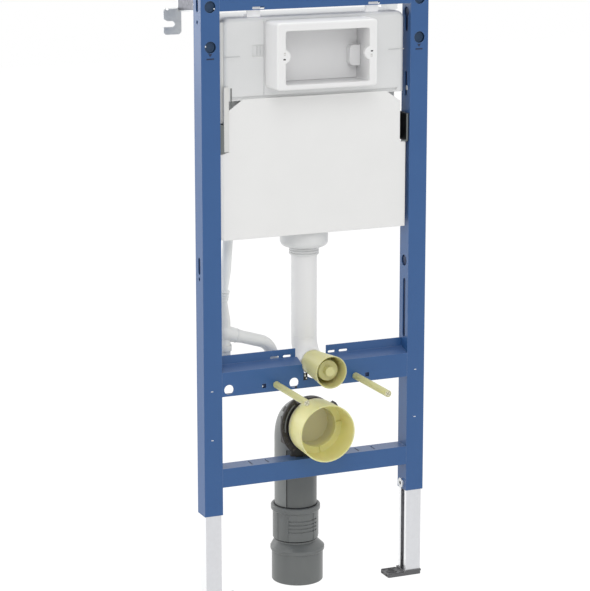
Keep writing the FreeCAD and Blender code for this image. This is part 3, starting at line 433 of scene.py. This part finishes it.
# Injection-moulded ABS: the whitest and smoothest of them.
# The hollow tone paints shade inside the service box's opening.
box_skin = moulded("abs_white", "#E8E8E8", "#ECECEC", "#F4F4F4", 0.38, 3.0, 0.04, edge_mm=3.0,
                   hollow_shade=("#D2D2D3", 91.8, 53.8, -50.0))
# The hooks get a painted glow, an emission for light from behind.
hanger_skin = moulded("abs_hook_white", "#F4F4F4", "#F6F6F6", "#F8F8F8", 0.38, 3.0, 0.04,
                      painted_glow=0.16)
recess_skin = moulded("abs_recess_white", "#E3E3E4", "#E9E9E9", "#E6E6E6", 0.5, 3.0, 0.06)
# Extruded polyethylene of the flush pipe.
pipe_skin = moulded("polyethylene_extruded_pale", "#E4E4E4", "#E8E8E8", "#F2F2F2", 0.42, 3.0, 0.05)
# The collar is the pale plastic in a darker tone, a painted shade.
collar_shade_skin = moulded("polypropylene_collar_painted_shade", "#D8D9D9", "#DDDEDE", "#EAEAEA", 0.45, 3.0,
                      0.05)
tube_skin = moulded("polypropylene_tube_pale", "#EAECEB", "#EEF0EF", "#F4F4F4", 0.5, 2.0, 0.06)
conduit_skin = moulded("polypropylene_conduit_pale", "#DEDFDE", "#E2E3E2", "#ECECEC", 0.5, 2.0,
                       0.06)
# Soft, unfilled polyethylene of the plugs and sleeves, which lets light in.
# Its floor tone is painted shade on the deep bottom of the plug.
plug_skin = moulded("polyethylene_soft_yellow", "#E4DF98", "#E9E4A4", "#F4F2C4", 0.4, 2.5, 0.08,
                    edge_mm=2.0, glow=0.35, floor=("#D6D1B0", 12.0))
cap_skin = moulded("polyethylene_sleeve_cap_pale", "#DAD7BC", "#E0DDC4", "#ECEAD6", 0.45, 2.0,
                   0.05)
cross_skin = moulded("polyethylene_sleeve_cross", "#A29E84", "#A8A48A", "#B8B49C", 0.5, 2.0, 0.05,
                     edge_mm=0.3)
# The flush plug and stud sleeves get the yellow plastic in a darker tone, a painted shade.
shaded_plug_skin = moulded("polyethylene_soft_yellow_painted_shade", "#CCC88D", "#D2CE95", "#E8E4B8", 0.4,
                          2.5, 0.08, edge_mm=1.2, glow=0.3)
# Black-grey drain pipe of high density polyethylene.
# The darker front tone paints the shade on the front and right of the bend's lower leg.
bend_shade_skin = moulded("polyethylene_bend_painted_shade", "#5C5F5E", "#626563", "#7C7F7F", 0.36, 3.0,
                          0.06)
bend_skin = moulded("polyethylene_bend_grey", "#7C7F7E", "#838684", "#9C9F9E", 0.4, 3.0, 0.06)
drain_skin = moulded("polyethylene_drain_grey", "#646767", "#6B6E6D", "#8C8F8F", 0.32, 3.0, 0.06)
# Glass-filled polyamide of clamp and clips.
clamp_skin = moulded("polyamide_black", "#262423", "#302D2B", "#6C6660", 0.5, 1.5, 0.06,
                     edge_mm=1.0)
clip_skin = moulded("polyamide_clip_black", "#17191A", "#1E2122", "#84898C", 0.35, 1.5, 0.05,
                    edge_mm=1.6)
# The left clip is the black clip painted lighter as if lit; the face tone paints highlights and
# light.
lit_clip_skin = moulded("polyamide_clip_painted_light", "#8A8F8D", "#949997", "#C0C2C0", 0.4, 1.5, 0.05,
                         edge_mm=1.6)
clip_highlight_skin = moulded("polyamide_clip_painted_highlight", "#656A69", "#747978", "#8A8F8D", 0.4, 1.5,
                         0.05)
# Taupe rubber for the clamp's seal ring, and also the painted shade at the edges of shallow slots.
taupe_seal_and_shade_skin = moulded("rubber_taupe_and_painted_shade", "#8C867C", "#99938A", "#B4AEA6", 0.5, 1.5, 0.05,
                         edge_mm=0.6)
foot_skin = moulded("polyamide_foot_dark", "#565658", "#606062", "#9C9C9E", 0.45, 1.5, 0.1,
                    edge_mm=1.0)
# Black rubber for the seals, wedge and seam, and also the painted shade in slots, holes, sockets
# and pockets.
black_rubber_and_shade_skin = moulded("rubber_black_and_painted_shade", "#141414", "#1C1C1C", "#303030", 0.65, 1.2, 0.05,
                      edge_mm=0.6)
# The hole plugs' dark navy is painted shade of the holes.
hole_shade_blue_skin = moulded("polyethylene_hole_plug_painted_shade", "#1B3A5A", "#20405F", "#2C4E70", 0.5, 1.5,
                         0.05)
# A dark blue of painted shade for the insides of the uprights and the cage nuts.
inside_shade_skin = moulded("powder_coat_inside_painted_shade", "#12284C", "#172E54", "#1E3860", 0.6, 1.5, 0.05)
mark_skin = moulded("paint_mark_dark_blue", "#0E2040", "#142848", "#1A3258", 0.5, 1.5, 0.02,
                    edge_mm=0.3)
print("made", len(bpy.data.materials), "materials so far")

# %% [markdown]
# The CAD nodes keep their shapes. Each gets the finish of the real piece in its material slot.

# %% Dress the CAD nodes
wear = {
    powder_coat: ["left_upright", "right_upright", "top_crossbar", "middle_crossbar",
                  "lower_crossbar"],
    leg_zinc: ["left_leg", "right_leg"],
    bright_zinc: ["left_leg_lock_screw", "right_leg_lock_screw", "left_stud", "right_stud",
                  "left_stud_nut", "right_stud_nut", "left_wall_plate", "right_wall_plate"],
    shaded_zinc: ["left_wall_arm", "right_wall_arm"],
    tank_skin: ["cistern_body"],
    cover_skin: ["cistern_front_cover"],
    box_skin: ["service_box"],
    hanger_skin: ["left_cistern_hanger", "right_cistern_hanger"],
    recess_skin: ["service_plate"],
    pipe_skin: ["flush_pipe", "flush_bend"],
    collar_shade_skin: ["outlet_collar"],
    tube_skin: ["conduit_tube", "conduit_coupling"],
    conduit_skin: ["conduit_branch"],
    plug_skin: ["waste_plug"],
    shaded_plug_skin: ["flush_plug", "left_stud_sleeve", "right_stud_sleeve"],
    bend_skin: ["waste_bend"],
    drain_skin: ["waste_sleeve", "waste_reducer"],
    clamp_skin: ["waste_clamp"],
    clip_skin: ["right_cistern_clip"],
    lit_clip_skin: ["left_cistern_clip"],
    foot_skin: ["left_foot_plate", "right_foot_plate"],
}
dressed = set()
for skin, names in wear.items():
    for name in names:
        node = nodes[name]
        if not node.material_slots:
            node.data.materials.append(skin)
        for slot in node.material_slots:
            slot.material = skin
        dressed.add(name)
print("dressed", len(dressed), "nodes, left", sorted(set(nodes) - dressed))

# %% [markdown]
# The small pieces below are meshes made in code. Five helpers are enough: one turns a mesh into a
# named piece that rides on its body, one makes a bar with rounded edges, one gives a turn about an
# axis, one turns an outline round an axis, as a lathe does, and one gives the outline of a bead.

# %% Piece helpers
def piece(name, mesh_maker, skin, body="frame"):
    """A named object from a bmesh, with its finish, that rides on a body."""
    mesh = bpy.data.meshes.new(name)
    mesh_maker.normal_update()
    mesh_maker.to_mesh(mesh)
    mesh_maker.free()
    mesh.materials.append(skin)
    mesh.polygons.foreach_set("use_smooth", [True] * len(mesh.polygons))
    mesh.set_sharp_from_angle(angle=math.radians(40))
    made = bpy.data.objects.new(name, mesh)
    scene.collection.objects.link(made)
    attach(made, body)


def add_bar(shape, x0, x1, y0, y1, z0, z1, round_mm, turn=None):
    """Adds a bar between two corners in millimetres, with rounded edges, turned if asked."""
    made = bmesh.ops.create_cube(shape, size=1.0)["verts"]
    low, high = at(x0, y0, z0), at(x1, y1, z1)
    for vert in made:
        vert.co = Vector([low[i] + (high[i] - low[i]) * (vert.co[i] + 0.5) for i in range(3)])
    if turn is not None:
        bmesh.ops.transform(shape, matrix=turn, verts=made)
    edges = {edge for vert in made for edge in vert.link_edges}
    bmesh.ops.bevel(shape, geom=list(edges), offset=round_mm / 1000, segments=2, affect="EDGES",
                    profile=0.5)


def turned_about(x, y, z, axis, degrees):
    """A turn about an axis through a place in millimetres."""
    middle = at(x, y, z)
    return (Matrix.Translation(middle) @ Matrix.Rotation(math.radians(degrees), 4, axis)
            @ Matrix.Translation(-middle))


def add_turned(shape, outline, x, y, z, axis, steps=96, start=0, sweep=360, turn=None):
    """Turns an outline of (radius, distance along the axis) in millimetres round an axis.

    A sweep under 360 degrees starts at an angle counted from the front to the right, about Z.
    """
    along = {"X": Vector((1, 0, 0)), "Y": Vector((0, 1, 0)), "Z": Vector((0, 0, 1))}[axis]
    side = Vector((0, 0, 1)) if axis != "Z" else Vector((0, -1, 0))
    other = along.cross(side)
    middle = at(x, y, z)
    whole = sweep == 360
    rings = []
    for step in range(steps if whole else steps + 1):
        angle = math.radians(start + sweep * step / steps)
        ray = side * math.cos(angle) + other * math.sin(angle)
        rings.append([shape.verts.new(middle + (ray * radius + along * distance) / 1000)
                      for radius, distance in outline])
    if turn is not None:
        bmesh.ops.transform(shape, matrix=turn, verts=[vert for ring in rings for vert in ring])
    count = len(outline)
    for step in range(steps):
        a, b = rings[step], rings[(step + 1) % len(rings)]
        for i in range(count):
            j = (i + 1) % count
            shape.faces.new((a[i], a[j], b[j], b[i]))
    if not whole:
        shape.faces.new(rings[0][::-1])
        shape.faces.new(rings[-1])


def round_section(radius, distance, thick, steps=10):
    """The outline of a round bead, for add_turned."""
    return [(radius + thick * math.cos(2 * math.pi * i / steps), distance + thick *
             math.sin(2 * math.pi * i / steps)) for i in range(steps)]


print("piece helpers ready")

# %% [markdown]
# ** Cistern front.** The real tank has a metre mark at each side, at 1000 mm above the finished
# floor, which is set level with the mark on the wall. It is a raised line that throws a thin
# shadow, and its darker tone adds painted shade along it. A raised edge also runs beside the
# service box, where two halves of the moulding tool meet, in the same darker painted shade. At
# the left, a flat ear and a flange of the tank reach down beside the cover, whose sheet is folded
# back along that side, and a narrow dark strip of painted shade marks a groove in the ear.

# %% Cistern front details
front = bmesh.new()
add_bar(front, -198.5, -164.5, 6.6, 8.6, 1000.0, 1001.4, 0.3)
add_bar(front, 163.5, 198.5, 6.6, 8.6, 999.0, 1000.4, 0.3)
add_bar(front, -113.2, -111.6, 6.6, 8.6, 922.0, 1070.0, 0.5)
add_bar(front, -120.5, -119.5, 7.0, 8.6, 1001.0, 1020.0, 0.2)
add_bar(front, -127.5, -126.5, 7.0, 8.6, 1001.0, 1020.0, 0.2)
piece("cistern_front_lines", front, line_shade_skin)
fold = bmesh.new()
add_bar(fold, -208.8, -202.9, 5.0, 8.0, 632.0, 806.5, 0.4)
piece("cover_left_fold", fold, cover_skin)
ear = bmesh.new()
add_bar(ear, -201.0, -190.0, 2.6, 8.4, 810.8, 941.0, 0.8)
piece("cistern_left_ear", ear, ear_skin)
flange = bmesh.new()
add_bar(flange, -209.5, -199.0, 10.0, 13.0, 868.0, 1070.0, 1.0)
piece("cistern_left_flange", flange, ear_skin)
# A dark strip paints the shade in a groove of the ear.
groove_shade = bmesh.new()
add_bar(groove_shade, -184.8, -182.0, 7.3, 8.4, 893.0, 938.0, 0.3)
piece("cistern_ear_groove_shade", groove_shade, drain_skin)
print("metre lines, panel edge, cover fold, ear and flange made")

# %% [markdown]
# ** Service box.** Each boss takes a screw of the flush plate's holder. The bosses have two small
# slots each, one open and one shallow. Their shade is painted: a black piece in each open slot
# and two taupe bars at the edges of each shallow one, a hair above the moulding, because the CAD
# solid is not cut here.

# %% Service box details
# Black and taupe bars paint the shade in the bosses' slots.
slot_shades = bmesh.new()
shallow_slot_shades = bmesh.new()
for x, z, deep in ((-94.2, 998.0, True), (-93.6, 1009.0, False), (96.6, 1006.6, True),
                   (95.9, 998.0, False)):
    group = slot_shades if deep else shallow_slot_shades
    if deep:
        add_bar(group, x - 2.6, x + 2.6, -55.15, -54.4, z - 1.5, z + 1.5, 0.3)
    else:
        add_bar(group, x - 2.4, x + 2.4, -55.3, -54.4, z - 2.2, z - 1.4, 0.2)
        add_bar(group, x - 2.4, x + 2.4, -55.3, -54.4, z + 1.4, z + 2.2, 0.2)
piece("service_box_slot_shades", slot_shades, black_rubber_and_shade_skin)
piece("service_box_shallow_slot_shades", shallow_slot_shades, taupe_seal_and_shade_skin)
print("slots in both bosses made")

# %% [markdown]
# **Plug rims.** The yellow plugs are soft mouldings with a rolled rim, which catches the light as
# a thin bright line. A bead turned round the plug's axis gives it. The end of each stud sleeve is
# closed by a pale cap with a thin cross, which keeps plaster out.

# %% Plug rims
WASTE_Z, FLUSH_Z, STUD_X, STUD_Z = 220, 355, 90, 320
rims = bmesh.new()
add_turned(rims, round_section(59.7, -59.2, 1.3), 0, 0, WASTE_Z, "Y", 128)
add_turned(rims, round_section(43.6, -2.9, 0.8), 0, 0, WASTE_Z, "Y", 112)
piece("waste_plug_rims", rims, plug_skin)
rims = bmesh.new()
add_turned(rims, round_section(33.1, -76.4, 1.1), 0, 0, FLUSH_Z, "Y", 96)
add_turned(rims, round_section(20.8, -58.8, 0.8), 0, 0, FLUSH_Z, "Y", 80)
add_turned(rims, round_section(9.8, -70.7, 0.8), 0, 0, FLUSH_Z, "Y", 48)
for x in (-STUD_X, STUD_X):
    add_turned(rims, round_section(6.4, -156.4, 0.6), x, 0, STUD_Z, "Y", 40)
piece("small_plug_rims", rims, shaded_plug_skin)
caps = bmesh.new()
crosses = bmesh.new()
for x in (-STUD_X, STUD_X):
    add_turned(caps, [(0.3, -156.2), (5.9, -156.2), (5.9, -155.4), (0.3, -155.4)], x, 0, STUD_Z,
               "Y", 32)
    for degrees in (35, 125):
        add_bar(crosses, x - 5.6, x + 5.6, -156.5, -156.0, STUD_Z - 0.6, STUD_Z + 0.6, 0.15,
                turned_about(x, 0, STUD_Z, "Y", degrees))
piece("sleeve_caps", caps, cap_skin)
piece("sleeve_crosses", crosses, cross_skin)
print("plug rims, sleeve caps and crosses made")

# %% [markdown]
# ** Waste pipe.** A black lip seal sits where the bend enters the sleeve, and another where the
# sleeve enters the reducer; the lower one is also painted shade under the sleeve's edge. The front
# and right of the bend's lower leg get a darker shell, a painted shade, that stands a hair proud,
# with a dark seam at its left. The sleeve carries raised mould ribs.

# %% Waste pipe details
DRAIN_Y, SLEEVE_RADIUS, SHELL_RADIUS = 108, 49.0, 45.4
seal = bmesh.new()
add_turned(seal, round_section(46.0, 0.0, 1.3), 0, DRAIN_Y, 23.0, "Z", 96)
# The lower seal also paints the shade under the sleeve's edge.
add_turned(seal, round_section(47.0, 0.0, 0.9), 0, DRAIN_Y, -52.6, "Z", 96)
piece("drain_lip_seals", seal, black_rubber_and_shade_skin)
ribs = bmesh.new()
for degrees in (-74, -42, 30, 74, 137, -137):
    angle = math.radians(degrees)
    x, y = SLEEVE_RADIUS * math.sin(angle), DRAIN_Y - SLEEVE_RADIUS * math.cos(angle)
    add_bar(ribs, x - 0.8, x + 0.8, y - 0.9, y + 0.9, -50.5, 8.0, 0.4,
            turned_about(x, y, -20, "Z", degrees))
piece("drain_mould_ribs", ribs, drain_skin)
# A darker shell paints the shade on the front and right of the lower leg.
shade_shell = bmesh.new()
outline = [(45.1, 24.0), (45.7, 24.3), (45.7, 151.0), (45.1, 151.3)]
add_turned(shade_shell, outline, 0, DRAIN_Y, 0, "Z", 60, start=-47, sweep=150)
piece("drain_shade_shell", shade_shell, bend_shade_skin)
seam = bmesh.new()
seam_degrees = -47.5
angle = math.radians(seam_degrees)
x, y = SHELL_RADIUS * math.sin(angle), DRAIN_Y - SHELL_RADIUS * math.cos(angle)
add_bar(seam, x - 0.9, x + 0.9, y - 0.9, y + 0.7, 24.5, 151.0, 0.3,
        turned_about(x, y, 0, "Z", seam_degrees))
piece("drain_seam", seam, black_rubber_and_shade_skin)
print("lip seals, mould ribs and front shell made")

# %% [markdown]
# **Clamp.** The black clamp is closed by a ribbed latch band at its left, with a paler sealing
# ring in front of it. It stands on a short steel plate on the lower crossbar.

# %% Clamp details
band = bmesh.new()
outline = [(59.0, 15.0), (70.6, 14.0), (72.6, 15.5), (72.6, 20.5), (70.0, 24.0), (59.0, 24.0)]
add_turned(band, outline, 0, 0, WASTE_Z, "Y", 72, start=206, sweep=118)
for degrees in (222, 240, 252, 266, 281, 303, 317):
    add_bar(band, -2.4, 2.4, 13.0, 16.0, WASTE_Z + 60.5, WASTE_Z + 70.0, 0.8,
            turned_about(0, 14, WASTE_Z, "Y", degrees))
piece("clamp_latch_band", band, clamp_skin)
wedge = bmesh.new()
add_bar(wedge, -50.0, -22.0, 13.5, 22.0, 155.0, 173.8, 1.2, turned_about(-36, 18, 163.8, "Y", 7))
piece("clamp_wedge", wedge, black_rubber_and_shade_skin)
ring = bmesh.new()
add_turned(ring, round_section(54.6, 15.4, 1.5), 0, 0, WASTE_Z, "Y", 96)
piece("clamp_seal_ring", ring, taupe_seal_and_shade_skin)
ring = bmesh.new()
add_turned(ring, round_section(64.0, 13.8, 1.5), 0, 0, WASTE_Z, "Y", 72, start=262, sweep=56)
piece("clamp_band_inlay", ring, drain_skin)
plate = bmesh.new()
add_bar(plate, -38.0, 38.0, 19.0, 40.0, 152.5, 153.9, 0.5)
piece("clamp_base_plate", plate, drain_skin)
print("clamp latch band, seal ring and base plate made")

# %% [markdown]
# **Marks on the uprights.** Under each lower hole a small arrow and a line mark the metre height.
# The fronts also get small bright zinc bars, painted highlights: two dashes low on each front
# and three glints beside round holes.

# %% Upright marks and dots
marks = bmesh.new()
for x, z in ((-230.4, 999.4), (229.3, 998.4)):
    add_bar(marks, x - 8.0, x + 8.0, -0.12, 0.4, z - 1.6, z + 1.4, 0.1)
    arrow = [marks.verts.new(at(x + dx, y, z + dz)) for y in (-0.15, 0.3)
             for dx, dz in ((-4.2, 10.4), (4.2, 10.4), (0.0, 4.0))]
    for face in ((0, 1, 2), (5, 4, 3), (0, 3, 4, 1), (1, 4, 5, 2), (2, 5, 3, 0)):
        marks.faces.new([arrow[i] for i in face])
piece("metre_marks", marks, mark_skin)
# Bright zinc bars paint highlights: dashes low on the fronts and glints beside round holes.
glints = bmesh.new()
for x in (-231.2, 230.0):
    for z in (318.6, 215.1):
        add_bar(glints, x - 3.6, x + 1.6, -0.35, 0.3, z + 0.2, z + 1.8, 0.3)
for x, z in ((-240.0, 1024.5), (-221.0, 1098.0), (220.0, 1106.0)):
    add_bar(glints, x - 1.3, x + 1.3, 0.6, 1.8, z - 1.6, z + 1.6, 0.4)
piece("painted_glints", glints, bright_zinc)
print("metre marks, punched dots and plug tips made")

# %% [markdown]
# ** Insides of the uprights.** The slots and holes in the sides look dark, because the tube behind
# them is closed and narrow. That shade is painted: a dark blue plate, half a millimetre behind
# each slot, gives the look. A soft plug sits behind each round hole of the front, which keeps
# plaster out; its dark navy is painted shade of the hole.

# %% Insides of the uprights
UPRIGHT_X, UPRIGHT_Y, PLATE_HALF = 230, 20, 0.35
inside = bmesh.new()
plugs = bmesh.new()
for side in (-1, 1):
    for z_low, z_high, y_half, wall in ((1089, 1119, 7.5, 247.3), (1065.5, 1076.5, 5.5, 247.3),
                                        (560, 598, 7.5, 247.3), (546.5, 557.5, 5.5, 247.3),
                                        (1031, 1086, 13.0, 212.7), (898, 954, 6.5, 212.7),
                                        (388.4, 517, 9.0, 212.7), (540, 566, 13.0, 212.7)):
        x = side * wall
        add_bar(inside, x - PLATE_HALF, x + PLATE_HALF, UPRIGHT_Y - y_half, UPRIGHT_Y + y_half,
                z_low, z_high, 0.2)
    for z in (1102.0, 1022.4):
        add_turned(plugs,
                   [(0.5, 7.0), (8.6, 7.0), (9.4, 6.2), (12.6, 6.2), (12.6, 8.4), (0.5, 8.4)],
                   side * UPRIGHT_X, 0, z, "Y", 40)
piece("upright_insides", inside, inside_shade_skin)
piece("upright_hole_plugs", plugs, hole_shade_blue_skin)
spots = bmesh.new()
add_bar(spots, 209.4, 211.4, 11.0, 19.0, 913.0, 922.0, 0.5)
piece("slot_spring", spots, bright_zinc)
print("slot backs, hole plugs and slot spring made")

# %% [markdown]
# ** Clips.** The right clip, which holds the cistern, is black with a painted highlight: a paler
# rim on its outer and lower edge. The left one is the same clip painted lighter grey as if lit,
# with a flat grey face of painted light in front.

# %% Clip rims
rims = bmesh.new()
# Grey bars on the right clip are painted highlights.
add_bar(rims, 204.6, 207.8, 3.5, 5.2, 809.5, 865.0, 0.4)
add_bar(rims, 192.5, 207.8, 3.5, 5.2, 808.2, 811.0, 0.4)
piece("clip_rim_highlights", rims, clip_highlight_skin)
face = bmesh.new()
# A grey bar in front of the left clip is painted light.
add_bar(face, -209.4, -199.6, 3.0, 4.2, 808.6, 866.0, 0.5)
piece("left_clip_painted_light", face, clip_highlight_skin)
print("clip rims and face made")

# %% [markdown]
# **Welds.** The crossbars are welded between the uprights. A weld bead is a row of small
# overlapping ripples; under the powder coat only its soft shape is left. It is made as a bead
# that swells and shrinks along its way.

# %% Weld beads
RIPPLE_STEP, RIPPLE_TURN, RIPPLE_SHARE, ROUND_CORNERS = 0.0008, 1.9, 0.16, 8
beads = bmesh.new()


def add_bead(start, end, thick):
    """A weld bead between two places in millimetres."""
    a, b = at(*start), at(*end)
    along = (b - a).normalized()
    side = along.orthogonal().normalized()
    other = along.cross(side)
    steps = max(4, int((b - a).length / RIPPLE_STEP))
    rings = []
    for step in range(steps + 1):
        share = step / steps
        ripple = 1 + RIPPLE_SHARE * math.sin(step * RIPPLE_TURN)
        swell = thick * ripple * min(1, 0.25 + 4 * share, 0.25 + 4 * (1 - share)) / 1000
        angles = [2 * math.pi * k / ROUND_CORNERS for k in range(ROUND_CORNERS)]
        rings.append([beads.verts.new(a + (b - a) * share
                                      + (side * math.cos(t) + other * math.sin(t)) * swell)
                      for t in angles])
    for r, s in zip(rings, rings[1:]):
        for k in range(ROUND_CORNERS):
            after = (k + 1) % ROUND_CORNERS
            beads.faces.new((r[k], r[after], s[after], s[k]))
    beads.faces.new(rings[0])
    beads.faces.new(rings[-1][::-1])


for side in (-1, 1):
    x = side * 209.6
    for z in (1092.4, 112.4, 152.6):
        add_bead((x, 4, z), (x, 36, z), 1.3)
    add_bead((x, 40.1, 1095), (x, 40.1, 1117), 1.3)
    add_bead((x, 40.1, 116), (x, 40.1, 149), 1.3)
    add_bead((x, 3, 305.8), (x, 14, 305.8), 1.2)
    add_bead((x, 31.0, 370), (x, 31.0, 383), 1.2)
piece("weld_beads", beads, powder_coat)
print("weld beads made")

# %% [markdown]
# ** Small fixings.** A cage nut sits behind each square hole of the middle crossbar, in the dark
# blue of the painted shade inside. A spring clip in its slot sits beside the flush plug, and a
# hexagon bolt with a washer holds each wall arm to its upright. A small bright bar in the left
# square hole is a painted highlight. A bright bar along the lower edge of each arm is a painted
# highlight; it falls 11 mm over 130 mm. Black pieces paint the shade in the spring clip's slot, in
# a small hole of the middle crossbar, in the lock screws' sockets and in the slits in the top of
# the lower crossbar.

# %% Small fixings
BOLT_Z, ARM_FALL, ARM_LENGTH, ARM_EDGE_HALF = 1104, 11.0, 130.0, 2.9
# Black pieces paint the shade in slots, holes, sockets and slits.
hole_shades = bmesh.new()
nuts = bmesh.new()
for x in (-117, 117):
    add_bar(nuts, x - 6.5, x + 6.5, 3.0, 7.5, 313.5, 326.5, 0.8)
piece("cage_nuts", nuts, inside_shade_skin)
add_bar(hole_shades, -29.0, -19.8, -0.25, 0.5, 322.5, 337.5, 0.2)
add_turned(hole_shades, [(0.3, -0.2), (2.3, -0.2), (2.6, 0.3), (0.3, 0.3)], -45.7, 0, 309.6, "Y", 24)
for side in (-1, 1):
    add_turned(hole_shades, [(0.2, 0.0), (4.2, 0.0), (4.2, 0.5), (0.2, 0.5)], side * 208.4, 20, 66, "X",
               6)
for x in (-140, -103, 103, 140):
    add_bar(hole_shades, x - 1.4, x + 1.4, 9.2, 24.0, 150.4, 151.8, 0.1)
piece("fixing_hole_shades", hole_shades, black_rubber_and_shade_skin)
clip = bmesh.new()
add_bar(clip, -27.6, -24.4, -3.0, 0.0, 331.0, 335.5, 0.6)
add_bar(clip, -24.0, -21.2, -1.6, 0.0, 325.0, 328.5, 0.5)
# This small bright bar in the left square hole is a painted highlight.
add_bar(clip, -121.0, -118.2, 2.2, 3.6, 317.0, 320.5, 0.5)
piece("crossbar_spring_clip", clip, bright_zinc)
bolts = bmesh.new()
for side in (-1, 1):
    x = side * 241.0
    add_turned(bolts, [(0.6, 43.0), (8.0, 43.0), (8.0, 44.4), (7.4, 44.7), (0.6, 44.7)], x, 0,
               BOLT_Z, "Y", 32)
    add_turned(bolts, [(0.6, 44.6), (6.6, 44.6), (6.6, 48.6), (5.8, 49.6), (0.6, 49.6)], x, 0,
               BOLT_Z, "Y", 6)
    middle = side * UPRIGHT_X
    fall = math.degrees(math.atan2(ARM_FALL, ARM_LENGTH))
    # The bright bar on the arm's lower edge is a painted highlight.
    add_bar(bolts, middle - ARM_EDGE_HALF, middle + ARM_EDGE_HALF, 44.0, 172.0, 1089.2, 1091.4,
            0.7,
            turned_about(0, 43, 1090, "X", -fall))
piece("wall_arm_bolts", bolts, bright_zinc)
print("cage nuts, spring clip, arm bolts and rolled edges made")

# %% [markdown]
# **Conduit.** The branch's arm is a moulding of its own, pushed into the branch: a fine step shows
# where it starts.

# %% Conduit details
arm = bmesh.new()
tilt = turned_about(-180, 60, 425, "Y", 17)
add_turned(arm, round_section(14.6, 26.0, 0.7), -180, 60, 425, "X", 48, turn=tilt)
piece("conduit_arm_steps", arm, collar_shade_skin)
print("arm step made")

# %% [markdown]
# ** Feet.** Each foot is a moulded plate with a raised collar round the screw slot, two stiffening
# ribs, and two pockets in its inner end, whose shade is painted as thin black plates. These ride
# on the leg, which slides in its upright.

# %% Foot details
for side, body in ((-1, "left_leg"), (1, "right_leg")):
    foot = bmesh.new()
    x = side * 188.0
    add_turned(foot, [(8.8, -0.4), (8.8, 1.4), (9.4, 1.9), (10.6, 1.9), (11.2, 1.4), (11.2, -0.4)],
               x, 20.5, -131, "Z", 40)
    for y in (3.0, 38.0):
        ends = sorted((side * 172.5, side * 206.0))
        add_bar(foot, *ends, y - 1.3, y + 1.3, -131.4, -129.4, 0.5)
    piece(body.replace("leg", "foot_ribs"), foot, foot_skin, body=body)
    # Thin black plates paint the shade in the pockets.
    pocket_shades = bmesh.new()
    for y in (10.5, 30.5):
        ends = sorted((side * 170.9, side * 171.6))
        add_bar(pocket_shades, *ends, y - 4.2, y + 4.2, -136.4, -132.6, 0.2)
    piece(body.replace("leg", "foot_pocket_shades"), pocket_shades, black_rubber_and_shade_skin, body=body)
print("foot collars, ribs and pockets made")

# %% [markdown]
# **Back of the cistern.** The photograph doesn't show it. Such tanks have moulded ribs there
# that keep the flat wall stiff, so low ribs are added, within the frame's depth.

# %% Cistern back ribs
back = bmesh.new()
for z in (700, 770, 850, 960, 1030):
    add_bar(back, -170, 170, 117.0, 119.6, z - 4, z + 4, 1.2)
for x in (-120, 0, 120):
    add_bar(back, x - 4, x + 4, 117.0, 119.4, 660, 1050, 1.2)
piece("cistern_back_ribs", back, tank_skin)
print("back ribs made")

# %% End of the scene
print("scene built")
